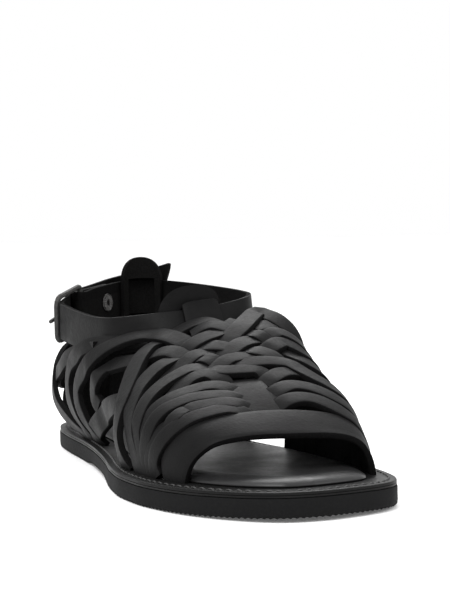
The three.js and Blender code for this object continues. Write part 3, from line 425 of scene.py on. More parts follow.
def metal(name, low, high, metallic):
    m, nt, b = nodes_of(name)
    co = nt.nodes.new("ShaderNodeTexCoord").outputs["Object"]
    f = noise(nt, co, 600, 3, 0.6)
    nt.links.new(mix_colour(nt, ramp(nt, f, 0.35, 0.7, 0, 1), low, high), b.inputs["Base Color"])
    b.inputs["Metallic"].default_value = metallic
    b.inputs["Specular IOR Level"].default_value = 0.12
    b.inputs["Specular Tint"].default_value = (0.3, 0.3, 0.3, 1)
    nt.links.new(ramp(nt, f, 0.3, 0.7, 0.36, 0.5), b.inputs["Roughness"])
    nt.links.new(bump(nt, f, 0.00003, 0.4), b.inputs["Normal"])
    return m


def thread(name):
    m, nt, b = nodes_of(name)
    co = nt.nodes.new("ShaderNodeTexCoord").outputs["Object"]
    f = noise(nt, co, 2500, 2, 0.5)
    nt.links.new(mix_colour(nt, ramp(nt, f, 0.35, 0.7, 0, 1), (0.012, 0.012, 0.012), (0.035, 0.034, 0.034)), b.inputs["Base Color"])
    b.inputs["Roughness"].default_value = 0.6
    nt.links.new(bump(nt, f, 0.00006, 0.6), b.inputs["Normal"])
    return m


FACE = leather("black_leather", (0.0058, 0.0058, 0.0059), (0.009, 0.0088, 0.009), rough=(0.42, 0.56), spec=0.05)
EDGE = fibre("cut_edge", (0.0022, 0.0022, 0.0023), (0.0062, 0.006, 0.006))
FLESH = fibre("flesh_side", (0.003, 0.003, 0.003), (0.008, 0.0078, 0.0076), 0.9)
BED = leather("footbed_leather", (0.011, 0.011, 0.0115), (0.016, 0.0158, 0.0162), rough=(0.3, 0.42), grain=1300, depth=0.00003, spec=0.32)
MID = leather("midsole_leather", (0.006, 0.006, 0.006), (0.0095, 0.0093, 0.0093), rough=(0.38, 0.5), grain=1100, depth=0.00004, spec=0.08)
SOLE_RUBBER = rubber("sole_rubber")
STEEL = metal("dull_nickel", (0.035, 0.034, 0.033), (0.06, 0.059, 0.058), 0.25)
# the rivet's steel has a far lighter base colour than the buckle's: a painted highlight for the glint on its ring,
# which sits in shade inside the strap
RIVET_STEEL_PAINTED_GLINT = metal("nickel_ring_painted_glint", (0.14, 0.138, 0.135), (0.26, 0.255, 0.25), 0.6)
THREAD = thread("black_thread")
LEATHER_SET = [FACE, EDGE, FLESH]

# ------------------------------------------------------------------ sole
SOLE_LAT, SOLE_MED = column(SOLE[:, 0], SOLE[:, 1]), column(SOLE[:, 0], SOLE[:, 2])


def outline_ring(count):
    """The sole's outline, evenly spaced, counter-clockwise from above, with outward normals."""
    t = 0.5 - 0.5 * np.cos(np.linspace(0, math.pi, 700))
    y = -148.45 + t * (148.85 + 148.45)
    ring = np.r_[np.c_[SOLE_MED(y), y], np.c_[SOLE_LAT(y[::-1]), y[::-1]]]
    ring = np.vstack([ring, ring[:1]])
    d = np.linalg.norm(np.diff(ring, axis=0), axis=1)
    keep = np.r_[True, d > 1e-6]
    ring = ring[keep]
    s = np.r_[0, np.cumsum(np.linalg.norm(np.diff(ring, axis=0), axis=1))]
    at = np.linspace(0, s[-1], count, endpoint=False)
    R = np.c_[np.interp(at, s, ring[:, 0]), np.interp(at, s, ring[:, 1])]
    for _ in range(max(1, count // 160)):
        R = (np.roll(R, 1, 0) + 2 * R + np.roll(R, -1, 0)) / 4
    T = np.roll(R, -3, 0) - np.roll(R, 3, 0)
    T /= np.linalg.norm(T, axis=1)[:, None]
    return R, np.c_[T[:, 1], -T[:, 0]], s[-1]


RING, RING_N, GIRTH = outline_ring(1200)


def ring_at(inset, count=None):
    """The outline moved in by the inset; insets over 5 mm move in further towards the heel."""
    P = RING - RING_N * inset
    if inset > 5:
        P = RING - RING_N * (inset + INSOLE_HEEL * smooth((RING[:, 1] - 95) / 40))[:, None]
    return P


def wall_rings(soup, rows, mat):
    """Closed rings one above the other: each row is [inset per point or one number, z per point]."""
    n = len(RING)
    V, F = [], []
    for inset, z in rows:
        P = RING - RING_N * (np.asarray(inset).reshape(-1, 1) if np.ndim(inset) else inset)
        V.append(np.c_[P, np.broadcast_to(z, (n,))])
    for r in range(len(rows) - 1):
        for i in range(n):
            j = (i + 1) % n
            F.append([r * n + i, r * n + j, (r + 1) * n + j, (r + 1) * n + i])
    soup.add(np.vstack(V), F, [mat] * len(F))


def cap(soup, inset, height, mat, up=True, across=10, stations=110, crown=None):
    """A surface across the sole inside the inset outline, by stations."""
    P = ring_at(inset)
    lo, hi = P[:, 1].min() + 0.02, P[:, 1].max() - 0.02
    y = lo + (hi - lo) * (0.5 - 0.5 * np.cos(np.linspace(0, math.pi, stations)))
    V, F = [], []
    for yy in y:
        a, b = P, np.roll(P, -1, 0)
        hit = (a[:, 1] - yy) * (b[:, 1] - yy) <= 0
        dy = b[hit, 1] - a[hit, 1]
        dy[np.abs(dy) < 1e-9] = 1e-9
        xs = a[hit, 0] + (b[hit, 0] - a[hit, 0]) * (yy - a[hit, 1]) / dy
        x0, x1 = xs.min(), xs.max()
        for k in range(across + 1):
            u = k / across
            V.append((x0 + (x1 - x0) * u, yy, float(height(yy)) + (crown(u, yy) if crown else 0)))
    w = across + 1
    for r in range(stations - 1):
        for k in range(across):
            q = [r * w + k, r * w + k + 1, (r + 1) * w + k + 1, (r + 1) * w + k]
            F.append(q if up else q[::-1])
    soup.add(V, F, [mat] * len(F))


ry = rise(RING[:, 1])
ay = arch_rise(RING[:, 1])
arc = np.arange(len(RING)) / len(RING) * GIRTH
saw = np.abs(((arc / 2.6) % 1) - 0.5) * 2  # 0 at a notch, 1 on a tooth
base = ry + ay
s1 = Soup()
wall_rings(s1, [
    (2.2, base + 0.35), (0.75 + 0.35 * (1 - saw), base + 0.02 + 0.55 * (1 - saw)), (0.28 + 0.3 * (1 - saw), base + 0.45 + 0.35 * (1 - saw)),
    (0.1 + 0.12 * (1 - saw), base + 1.15), (0.0, base * 0.5 + ry * 0.5 + 2.2), (0.02, ry + 5.0), (0.0, ry + OUTSOLE_T - 0.7), (0.22, ry + OUTSOLE_T - 0.12), (1.6, ry + OUTSOLE_T - 0.02)], 0)
cap(s1, 2.0, lambda y: rise(y) + arch_rise(y) + 0.33, 0, up=False)
cap(s1, 1.5, lambda y: rise(y) + OUTSOLE_T - 0.03, 0)
# fine tread under the sole: shallow ribs across, flush with the ground contact of the CAD
for yy in np.arange(-128, 142, 4.2):
    P = ring_at(3.2)
    hit = (P[:, 1] - yy) * (np.roll(P, -1, 0)[:, 1] - yy) <= 0
    x0, x1 = P[hit, 0].min() + 1.2, P[hit, 0].max() - 1.2
    if x1 - x0 < 8:
        continue
    m = 16
    xs = np.linspace(x0, x1, m)
    z0 = float(rise(yy) + arch_rise(yy))
    V, F = [], []
    for i, x in enumerate(xs):
        yo = yy + 1.0 * (1 if i % 2 else -1)
        V += [(x, yo - 0.95, z0 + 0.4), (x, yo - 0.6, z0), (x, yo + 0.6, z0), (x, yo + 0.95, z0 + 0.4)]
    for i in range(m - 1):
        for j in range(3):
            a = i * 4 + j
            F.append([a, a + 1, a + 5, a + 4])
    s1.add(V, F, [0] * len(F))
outsole = s1.make("sole_rubber_tread", [SOLE_RUBBER])
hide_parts("outsole")

s2 = Soup()
z0, z1 = OUTSOLE_T + 0.02, OUTSOLE_T + MIDSOLE_T + GAP
layer = z0 + (z1 - z0) * 0.46
wall_rings(s2, [
    (1.8, ry + z0 + 0.02), (0.55, ry + z0 + 0.05), (0.3, ry + z0 + 0.28), (0.3, ry + layer - 0.16), (0.62, ry + layer), (0.28, ry + layer + 0.16),
    (0.3, ry + z1 - 0.42), (0.48, ry + z1 - 0.12), (0.95, ry + z1), (2.6, ry + z1 + 0.02)], 0)
cap(s2, 2.5, lambda y: rise(y) + z1 + 0.02, 0)
midsole = s2.make("midsole_flange", [MID])
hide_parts("midsole")

# lockstitch round the flange, sunk in its groove
s3 = Soup()
pos = ring_at(3.4)
n = len(pos)
gap_mm, stitch_mm = 1.1, 3.3
count = int(GIRTH / (gap_mm + stitch_mm))
for k in range(count):
    a = int(k / count * n)
    b = int((k + stitch_mm / (gap_mm + stitch_mm)) / count * n)
    idx = np.linspace(a, b, 6).astype(int) % n
    t = np.linspace(0, 1, 6)
    C = np.c_[pos[idx], rise(pos[idx, 1]) + z1 + 0.12 - 0.55 * (2 * t - 1) ** 4 + 0.22 * (1 - (2 * t - 1) ** 2)]
    T = unit(np.gradient(C, axis=0))
    side = unit(np.cross(T, np.array([0, 0, 1.0])))
    up = np.cross(side, T)
    V, F = [], []
    for i in range(6):
        for q in range(6):
            ang = q / 6 * 2 * math.pi
            V.append(C[i] + side[i] * 0.42 * math.cos(ang) + up[i] * 0.3 * math.sin(ang))
    for i in range(5):
        for q in range(6):
            F.append([i * 6 + q, i * 6 + (q + 1) % 6, (i + 1) * 6 + (q + 1) % 6, (i + 1) * 6 + q])
    s3.add(V, F, [0] * len(F))
stitch = s3.make("flange_stitching", [THREAD])

s4 = Soup()
bed_z = FOOT_Z
n = len(RING)


def bed_wall(rows):
    V, F = [], []
    P0 = ring_at(INSOLE_INSET)
    for inset, z in rows:
        P = P0 - RING_N * inset
        V.append(np.c_[P, rise(P[:, 1]) + z])
    for r in range(len(rows) - 1):
        for i in range(n):
            j = (i + 1) % n
            F.append([r * n + i, r * n + j, (r + 1) * n + j, (r + 1) * n + i])
    s4.add(np.vstack(V), F, [1] * n + [0] * (len(F) - n))


bed_wall([(0.15, bed_z - 0.3), (0.0, bed_z + 0.35), (0.15, bed_z + 0.8), (0.9, bed_z + 1.5), (2.2, bed_z + 2.25), (4.0, bed_z + 2.9), (6.0, bed_z + 3.35), (8.0, bed_z + 3.6)])


def dish(u, y):
    heel_cup = -0.55 * math.exp(-(((y - 98) / 30) ** 2)) * math.sin(math.pi * u) ** 1.5
    ball = -0.45 * math.exp(-(((y + 62) / 34) ** 2)) * math.sin(math.pi * u) ** 1.5
    return heel_cup + ball


cap(s4, INSOLE_INSET + 7.9, lambda y: rise(y) + bed_z + INSOLE_T, 0, across=24, stations=160, crown=dish)
insole = s4.make("footbed", [BED, EDGE])
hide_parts("insole")

# ------------------------------------------------------------------ upper
upper = Soup()
BAND = np.array([  # g, front, rear
    (-1, -99.5, -88), (-0.85, -101.5, -85.5), (-0.65, -106.5, -89.5), (-0.4, -110.5, -94.5), (0, -112.5, -96.5), (0.4, -113.5, -99.5), (0.7, -113.5, -101.5), (1, -113.5, -102.5)])
band_front, band_rear = column(BAND[:, 0], BAND[:, 1]), column(BAND[:, 0], BAND[:, 2])


def sheet_wall(soup, grid_p, grid_n, thick, crown=0.0):
    """A leather wall over a grid of points, with rounded edges all round."""
    R, C = grid_p.shape[:2]
    edge_r = min(0.7, thick * 0.3)
    rows = []
    # offsets round the thickness: outer face, rounded rim, inner face
    V, F, M = [], [], []

    def pt(r, c, off):
        return grid_p[r, c] + grid_n[r, c] * off

    def border():
        seq = [(0, c) for c in range(C)] + [(r, C - 1) for r in range(1, R)] + [(R - 1, c) for c in range(C - 2, -1, -1)] + [(r, 0) for r in range(R - 2, 0, -1)]
        return seq

    idx = {}
    for side, off in ((0, 0.0), (1, -thick)):
        for r in range(R):
            for c in range(C):
                idx[side, r, c] = len(V)
                o = off
                V.append(pt(r, c, o))
    for r in range(R - 1):
        for c in range(C - 1):
            q = [idx[0, r, c], idx[0, r, c + 1], idx[0, r + 1, c + 1], idx[0, r + 1, c]]
            F.append(q)
            M.append(0)
            q = [idx[1, r, c], idx[1, r + 1, c], idx[1, r + 1, c + 1], idx[1, r, c + 1]]
            F.append(q)
            M.append(2)
    seq = border()
    mid = {}
    centre = grid_p.reshape(-1, 3).mean(0)
    for k, (r, c) in enumerate(seq):
        rp, cp = seq[k - 1]
        rn, cn = seq[(k + 1) % len(seq)]
        t = grid_p[rn, cn] - grid_p[rp, cp]
        out = np.cross(t, grid_n[r, c])
        out /= max(1e-9, np.linalg.norm(out))
        inner = grid_p[min(max(r, 1), R - 2), min(max(c, 1), C - 2)]
        if out @ (grid_p[r, c] - inner) < 0:
            out = -out
        ring = []
        for o, h in ((edge_r * 0.7, -edge_r * 0.3), (edge_r, -edge_r), (edge_r, -thick + edge_r * 0.8), (edge_r * 0.6, -thick + edge_r * 0.15)):
            ring.append(len(V))
            V.append(grid_p[r, c] + grid_n[r, c] * h + out * o)
        mid[k] = [idx[0, r, c]] + ring + [idx[1, r, c]]
    for k in range(len(seq)):
        a, b = mid[k], mid[(k + 1) % len(seq)]
        for j in range(len(a) - 1):
            F.append([a[j], a[j + 1], b[j + 1], b[j]])
            M.append(0 if j == 0 else 1)
    soup.add(V, F, M)


g_line = np.linspace(-1, 1, 110)
gp, gn = [], []
for t in np.linspace(0, 1, 9):
    P, N = [], []
    for g in g_line:
        p, nn = instep(float(band_front(g) * (1 - t) + band_rear(g) * t), g)
        P.append(p + nn * 0.25 * math.sin(math.pi * t))
        N.append(nn)
    gp.append(P)
    gn.append(N)
sheet_wall(upper, np.array(gp), np.array(gn), 2.7)

# Straps and strands as traced on the last: [y, g, 0, height] on the instep or [u, z, 1, height] on the heel walls.
STRAPS = [
    ("weave down 1", 9, [(-10.3, -0.134, 0, -1.2), (-11.8, -0.073, 0, 0.6), (-14, -0.022, 0, 1.3), (-19.1, 0.038, 0, 0.5), (-23.1, 0.101, 0, -1.2), (-29.1, 0.177, 0, 1.2), (-34.5, 0.246, 0, -1.1), (-42, 0.34, 0, -0.8), (-48, 0.43, 0, 0.4), (-53, 0.55, 0, 0.4), (-57, 0.7, 0, 0.1), (-58.5, 0.86, 0, 0), (-59, 1, 0, 0)]),
    ("weave down 2 and side 1", 9.4, [(-0.865, 9, 1, 0), (-0.845, 16, 1, 0.2), (-0.815, 23, 1, 0.7), (-0.795, 29, 1, 1.2), (-0.785, 35.5, 1, 1.6), (-0.809, 40.8, 1, 1.7), (-0.87, 46.2, 1, 1.7), (-40.6, 27, 2, 50.8, -0.96, -0.1, 0.25), (-36.5, 20.5, 2, 55.6, -0.82, -0.12, 0.56), (-30.5, 15.5, 2, 59.2, -0.68, -0.1, 0.73), (-23.5, 10.5, 2, 61.9, -0.57, -0.1, 0.82), (5.3, -0.288, 0, 1.2), (-7.3, -0.241, 0, 1.3), (-18.2, -0.207, 0, 0.6), (-25.5, -0.17, 0, -1), (-30.6, -0.119, 0, 0.3), (-34, -0.074, 0, 1.2), (-36.2, -0.012, 0, 0.2), (-38.6, 0.054, 0, -1.2), (-43.9, 0.125, 0, 1.2), (-47.3, 0.196, 0, 0.9), (-55, 0.27, 0, -0.9), (-62, 0.36, 0, -0.9), (-68, 0.47, 0, 0.2), (-73, 0.64, 0, 0.1), (-75.5, 0.82, 0, 0), (-76, 1, 0, 0)]),
    ("weave down 3 and opening edge", 9, [(-0.996, 30, 1, -1), (-0.968, 34.5, 1, 0.4), (-0.969, 39.2, 1, 0.9), (-0.99, 43.7, 1, 0.9), (13.5, -0.545, 0, 0.6), (9, -0.52, 0, 0.2), (1.8, -0.482, 0, -0.3), (-5.4, -0.436, 0, -0.8), (-12, -0.393, 0, -0.9), (-18.5, -0.34, 0, 1), (-23.9, -0.289, 0, 1.1), (-31.4, -0.251, 0, 0), (-37.8, -0.215, 0, -1.2), (-41.7, -0.166, 0, 1), (-45.5, -0.134, 0, 1), (-51, -0.085, 0, -1.2), (-55, -0.014, 0, 0.6), (-54.8, 0.086, 0, 1.4), (-54.7, 0.186, 0, 1.4), (-56.2, 0.276, 0, 1.4), (-61.1, 0.334, 0, 1.2), (-67, 0.4, 0, 1.1), (-73, 0.48, 0, 1), (-78, 0.58, 0, 0.7), (-82, 0.7, 0, 0.3), (-84, 0.86, 0, 0), (-84.5, 1, 0, 0)]),
    ("weave down 4", 8.6, [(-51, -0.2, 0, -0.9), (-56, -0.161, 0, 0.9), (-59.1, -0.089, 0, 1), (-60.5, -0.006, 0, 1), (-61.7, 0.065, 0, 1), (-65, 0.112, 0, -0.3), (-71.1, 0.125, 0, -1.2)]),
    ("long outer brace", 10, [(-16, 0.1, 0, -2.2), (-11, 0.03, 0, -1.6), (-5.2, -0.045, 0, 0.3), (-2.7, -0.101, 0, 0), (-1.7, -0.176, 0, -0.8), (-3.2, -0.255, 0, -1.3), (-5.1, -0.344, 0, 0.5), (-10.2, -0.402, 0, 1.6), (-16.5, -0.466, 0, 1.7), (-24.1, -0.529, 0, 1.6), (-31.6, -0.593, 0, 1.6), (-37.3, -0.652, 0, 1.6), (-39.1, -0.719, 0, 1.6), (-41, -0.8, 0, 2.9), (-44, -0.88, 0, 3.2), (-48, -0.95, 0, 2.2), (-52, -1, 0, 0.4)]),
    ("weave up 1", 9.8, [(-9.7, 0.122, 0, -0.4), (-14.3, 0.048, 0, -1.2), (-21.8, -0.036, 0, 0.5), (-24.3, -0.115, 0, 1.3), (-25.8, -0.188, 0, 0.8), (-27.5, -0.256, 0, -1.2), (-30.5, -0.325, 0, 0.4), (-32, -0.376, 0, 1.2), (-34, -0.445, 0, 1.2), (-37.7, -0.511, 0, 1.2), (-41.7, -0.57, 0, 1.2), (-47.3, -0.642, 0, 0.8), (-51.3, -0.708, 0, 0.3), (-55, -0.785, 0, 0.2), (-59.5, -0.862, 0, 0), (-63.6, -0.931, 0, 0), (-67, -0.974, 0, 0)]),
    ("weave up 2", 9.4, [(-33, 1, 0, 0), (-31.5, 0.86, 0, 0.2), (-27.5, 0.7, 0, 0.4), (-22.5, 0.57, 0, 0.9), (-17, 0.47, 0, 1.6), (-11, 0.39, 0, 2.4), (-5, 0.335, 0, 2.4), (0, 0.3, 0, 1.6), (3.8, 0.273, 0, 0.8), (-10.4, 0.178, 0, 1.1), (-21, 0.101, 0, 1.3), (-27.4, 0.029, 0, 0.4), (-33.3, -0.053, 0, -1.2), (-35.7, -0.128, 0, 0.2), (-37.1, -0.201, 0, 1.3), (-39.2, -0.274, 0, 0.2), (-41.3, -0.346, 0, -1), (-46, -0.425, 0, -1), (-52.8, -0.499, 0, -0.8)]),
    ("weave up 3", 9, [(-42, 1, 0, 0), (-41, 0.85, 0, 0), (-38, 0.68, 0, 0.2), (-33.5, 0.53, 0, 0.6), (-29, 0.41, 0, 1.2), (-24.8, 0.295, 0, 1), (-30, 0.193, 0, -1), (-33.3, 0.119, 0, 0.6), (-36.6, 0.054, 0, 1.3), (-41.3, -0.027, 0, 0.4), (-45.1, -0.121, 0, -1.2), (-47.7, -0.193, 0, -0.6), (-50.7, -0.259, 0, -1)]),
    ("outer foot 1", 9.2, [(-50.8, -0.182, 0, -0.5), (-49.4, -0.224, 0, 0.5), (-48.3, -0.273, 0, 1.2), (-49.4, -0.349, 0, 1.3), (-50.6, -0.426, 0, 1.2), (-52.8, -0.499, 0, 1.1), (-55.7, -0.566, 0, 1), (-58.7, -0.631, 0, 0.6), (-61.1, -0.694, 0, 0.2), (-62.1, -0.759, 0, 0), (-64.7, -0.829, 0, 0), (-66.8, -0.902, 0, 0), (-70.2, -0.975, 0, 0)]),
    ("weave up 4", 9, [(-50.5, 1, 0, 0), (-49.5, 0.84, 0, 0), (-46, 0.66, 0, 0.2), (-41, 0.5, 0, 0.6), (-37, 0.39, 0, 0.9), (-34.2, 0.302, 0, 0.9), (-38.9, 0.236, 0, 1.3), (-42.5, 0.162, 0, -1.1), (-46.7, 0.081, 0, 0.2), (-48.7, 0.012, 0, 1.1), (-49.8, -0.055, 0, 1.3), (-53.5, -0.133, 0, -0.2), (-57.8, -0.202, 0, -1.2)]),
    ("strip end 1", 9, [(-69.1, -0.147, 0, -2.6), (-63.9, -0.16, 0, 0.2), (-58.7, -0.208, 0, 1.3), (-57.2, -0.273, 0, 1), (-57.7, -0.335, 0, 0.2), (-60.7, -0.403, 0, -1), (-65, -0.486, 0, -1)]),
    ("outer foot 2", 8.4, [(-78.1, -0.121, 0, -2.8), (-74.5, -0.154, 0, -0.4), (-71, -0.213, 0, 0.8), (-68.8, -0.278, 0, 0.8), (-67.9, -0.352, 0, 0.6), (-67.4, -0.424, 0, 0.8), (-67.2, -0.5, 0, 0.8), (-67.2, -0.575, 0, 0.5), (-67.9, -0.646, 0, 0), (-67.3, -0.712, 0, -0.2), (-66.8, -0.78, 0, 0), (-67, -0.848, 0, 0), (-68.8, -0.914, 0, 0), (-72.2, -0.975, 0, 0)]),
    ("outer foot 3", 8.4, [(-85.3, -0.135, 0, -2.8), (-82.1, -0.172, 0, -0.4), (-79.3, -0.243, 0, 0.5), (-76.5, -0.331, 0, 0.6), (-74.8, -0.413, 0, 0.8), (-73.9, -0.498, 0, 0.9), (-73.1, -0.575, 0, 1), (-73, -0.649, 0, 0.8), (-72.9, -0.719, 0, 0.6), (-72.2, -0.785, 0, 0.4), (-72, -0.851, 0, 0.2), (-73.6, -0.916, 0, 0), (-76, -0.975, 0, 0)]),
    ("outer foot 4", 8.4, [(-91.4, -0.143, 0, -2.8), (-88.4, -0.183, 0, -0.4), (-86.1, -0.252, 0, 0.5), (-84.2, -0.356, 0, 0.6), (-82.7, -0.457, 0, 0.8), (-82.6, -0.545, 0, -0.2), (-81.7, -0.63, 0, -0.9), (-80, -0.707, 0, 0), (-77.9, -0.779, 0, 0.4), (-76.2, -0.852, 0, 0.3), (-77.2, -0.914, 0, 0.2), (-79.8, -0.966, 0, 0)]),
    ("outer foot 5", 8.4, [(-95.2, -0.158, 0, -2.6), (-92.6, -0.222, 0, -0.6), (-91.2, -0.292, 0, 0.4), (-90.6, -0.411, 0, 0.8), (-89.4, -0.54, 0, 1), (-87.4, -0.65, 0, 1), (-84.2, -0.738, 0, 1), (-81.1, -0.828, 0, 0.8), (-80.2, -0.901, 0, 0.4), (-82.3, -0.962, 0, 0)]),
    ("outer cross", 7.6, [(-78.5, -0.377, 0, -1), (-80.5, -0.451, 0, -0.2), (-82, -0.525, 0, 0.9), (-83.2, -0.604, 0, 1), (-82.9, -0.676, 0, -0.6), (-82, -0.737, 0, -1)]),
    ("inner foot 1", 8.8, [(-71.7, 0.065, 0, -1.6), (-69, 0.124, 0, 0.3), (-65.3, 0.201, 0, 0.9), (-63.2, 0.27, 0, 0.5), (-62, 0.33, 0, -1.2), (-60.5, 0.42, 0, -0.8), (-61.5, 0.54, 0, 0.2), (-64.5, 0.7, 0, 0.1), (-67, 0.86, 0, 0), (-67.5, 1, 0, 0)]),
    ("inner foot 2", 8.8, [(-82.5, 0.033, 0, -2.6), (-80.6, 0.101, 0, 0), (-78.1, 0.198, 0, 0.9), (-78.9, 0.29, 0, 1), (-81.5, 0.365, 0, 1), (-85.5, 0.46, 0, 0.9), (-89, 0.58, 0, 0.5), (-92, 0.76, 0, 0.1), (-93, 1, 0, 0)]),
    ("inner foot 3", 8.8, [(-90.5, 0.041, 0, -2.6), (-89.4, 0.116, 0, 0), (-88.6, 0.215, 0, 0.8), (-89.9, 0.308, 0, 0.9), (-93.1, 0.388, 0, 0.9), (-96.5, 0.48, 0, 0.7), (-99, 0.6, 0, 0.4), (-100.5, 0.78, 0, 0.1), (-101, 1, 0, 0)]),
    ("arch strap", 10.5, [(-36.8, -0.575, 0, -1.8), (-32.2, -0.624, 0, -1.6), (-22.4, -0.686, 0, -1.2), (-10, -0.73, 0, -1), (0.7, -0.765, 0, -0.9), (10, -0.8, 0, -0.6), (-0.97, 22, 1, -0.5), (-0.9, 18, 1, -0.3), (-0.83, 14, 1, -0.1), (-0.765, 9, 1, 0.2)]),
    ("side 2", 9, [(-17, 5, 2, 60.2, -0.47, -0.12, 0.87), (-24, 14, 2, 59.8, -0.56, -0.1, 0.82), (-30.5, 22.5, 2, 58.9, -0.68, -0.08, 0.73), (-36, 31.5, 2, 57.6, -0.84, -0.05, 0.54), (-39.3, 40.5, 2, 55.6, -0.96, 0, 0.28), (-0.771, 52.1, 1, 1), (-0.695, 47.7, 1, 1.2), (-0.66, 42.8, 1, 1.2), (-0.645, 37.5, 1, 1), (-0.655, 31, 1, 0.6), (-0.69, 24, 1, 0.3), (-0.735, 17, 1, 0.1), (-0.765, 9, 1, 0)]),
    ("side 3", 8.2, [(-0.9, 55.5, 1, -2.6), (-0.79, 54.5, 1, -2.2), (-0.69, 52, 1, -1.2), (-0.588, 48.6, 1, 0.3), (-0.5, 43.4, 1, 0.9), (-0.38, 38, 1, 1.2), (-0.24, 33.5, 1, 0.6), (-0.08, 31, 1, 0.3), (0.085, 30.2, 1, 0.8), (0.25, 33, 1, 0.4), (0.4, 38.2, 1, -0.4), (0.5, 43.4, 1, -0.6), (0.588, 48.6, 1, -0.2), (0.69, 52, 1, -1.2), (0.79, 54.5, 1, -2.2), (0.9, 55.5, 1, -2.6)]),
]
# The inner side has the outer side's heel straps, mirrored, and its own brace of the opening.
MIRROR = ("side 2", "arch strap")
EXTRA = [
    ("inner side 1", 9, [(0.865, 9, 1, 0), (0.845, 16, 1, 0.2), (0.815, 23, 1, 0.7), (0.795, 29, 1, 1.2), (0.785, 35.5, 1, 1.6), (0.809, 40.8, 1, 1.7), (0.87, 46.2, 1, 1.7), (40.6, 27, 2, 50.8, 0.96, -0.1, 0.25), (36.5, 20.5, 2, 55.6, 0.82, -0.12, 0.56), (30.5, 15.5, 2, 59.2, 0.68, -0.1, 0.73), (23.5, 10.5, 2, 61.9, 0.57, -0.1, 0.82), (2, 0.43, 0, 0.2), (-8, 0.33, 0, -0.6), (-14, 0.24, 0, -1), (-18, 0.17, 0, -1.2)]),
    ("inner opening edge", 8.6, [(0.985, 9, 1, -0.2), (0.965, 22, 1, 0.2), (0.96, 32, 1, 0.5), (0.975, 40, 1, 0.8), (12, 0.68, 0, 0.7), (2, 0.62, 0, 0.4), (-9, 0.57, 0, 0.2), (-19, 0.51, 0, -0.6), (-28, 0.44, 0, -1.0)]),
    ("inner weave brace", 8.4, [(-24.5, 1, 0, 0.4), (-23.5, 0.86, 0, 0.5), (-20, 0.7, 0, 0.9), (-14, 0.58, 0, 0.8), (-6, 0.5, 0, -0.4), (3, 0.42, 0, -1.0)]),
    ("heel loop", 8.4, [(-0.74, 9, 1, 0.2), (-0.66, 14, 1, 0.6), (-0.57, 19, 1, 1.4), (-0.48, 24.5, 1, 2.4), (-0.41, 30, 1, 2.9), (-0.35, 36, 1, 2.9), (-0.27, 43, 1, 2.2), (-0.16, 49.5, 1, 1.4), (0, 54, 1, 0.9), (0.085, 55, 1, 0.9), (0.17, 54, 1, 0.9), (0.3, 47, 1, 1.2), (0.38, 39, 1, 1.8), (0.45, 30, 1, 1.6), (0.54, 22, 1, 0.9), (0.64, 14.5, 1, 0.3), (0.71, 9, 1, 0)]),
    ("heel upright 1", 9.6, [(-0.14, 56, 1, -2), (-0.14, 46, 1, -1.6), (-0.16, 34, 1, -1.8), (-0.22, 24, 1, -0.6), (-0.26, 15, 1, -0.2), (-0.27, 9, 1, 0)]),
    ("heel upright 2", 12.5, [(0.02, 69, 1, -2.4), (-0.02, 56, 1, -2), (-0.05, 44, 1, -1.9), (-0.062, 34, 1, -2), (-0.068, 22, 1, -0.6), (-0.075, 9, 1, 0)]),
    ("heel upright middle", 12.5, [(0.04, 58, 1, -2.2), (0.03, 46, 1, -1.9), (0.02, 34, 1, -2), (0.02, 22, 1, -0.6), (0.02, 9, 1, 0)]),
    ("heel upright 3", 9.6, [(0.17, 60, 1, -2.2), (0.18, 48, 1, -1.8), (0.185, 36, 1, -2.0), (0.19, 22, 1, -0.6), (0.19, 9, 1, 0)]),
    ("heel upright 4", 8.6, [(0.3, 54, 1, -2), (0.3, 46, 1, -1.6), (0.29, 34, 1, -1.8), (0.295, 22, 1, -0.4), (0.31, 9, 1, 0)]),
]


def lay(name, width, path, seed):
    rows = []
    for a, b, on_heel, h, *facing in path:
        if on_heel == 2:  # a, b, h are mm here
            rows.append(np.r_[[a, b, h], unit(np.array(facing))])
            continue
        p, nn = heel(a, b) if on_heel else instep(a, b)
        q = p + nn * (h - STRAND / 2 + 0.4)
        if name == "weave up 2" and not on_heel and b > 0.12 and a > -26:
            nn = unit(nn + np.array([-0.5, -0.75, 0.55]) * smooth((b - 0.12) / 0.15) * smooth((a + 26) / 10))
        rows.append(np.r_[q, nn])
    Q, _ = spline(rows, step=1.5)
    Q = np.asarray(Q)
    ribbon(upper, Q[:, :3], unit(Q[:, 3:6]), width, STRAND, crown=0.1, wave=0.1, seed=seed)


for k, (name, width, path) in enumerate(STRAPS + EXTRA):
    lay(name, width, path, k)
    if name in MIRROR:
        lay(name + " inner", width, [(a, -b, 0, h) if on_heel == 0 else (-a, b, on_heel, h, *([-f[0], f[1], f[2]] if f else [])) for a, b, on_heel, h, *f in path], k + 40)

woven = upper.make("woven_upper", LEATHER_SET)
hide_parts("upper")

# ------------------------------------------------------------------ ankle strap
BELT, BELT_AT = spline(ANKLE, step=0.9)


def belt_rows(Q):
    T = np.gradient(Q[:, :3], axis=0)
    l = np.hypot(T[:, 0], T[:, 1])[:, None]
    flat = T[:, :2] / l
    out = np.c_[-flat[:, 1], flat[:, 0]] * -1
    lean = Q[:, 3]
    h = np.sqrt(BELT_W**2 - lean**2)
    return out, lean / BELT_W, h / BELT_W


OUT, LEAN, RISE = belt_rows(BELT)
k0 = int(np.argmin(np.linalg.norm(BELT[:, :2] - np.array([38.8, 98]), axis=1)))
LAP_SIGN = 1 if OUT[k0] @ (BELT[k0, :2] - np.array([2, 72])) > 0 else -1
OUT = OUT * LAP_SIGN


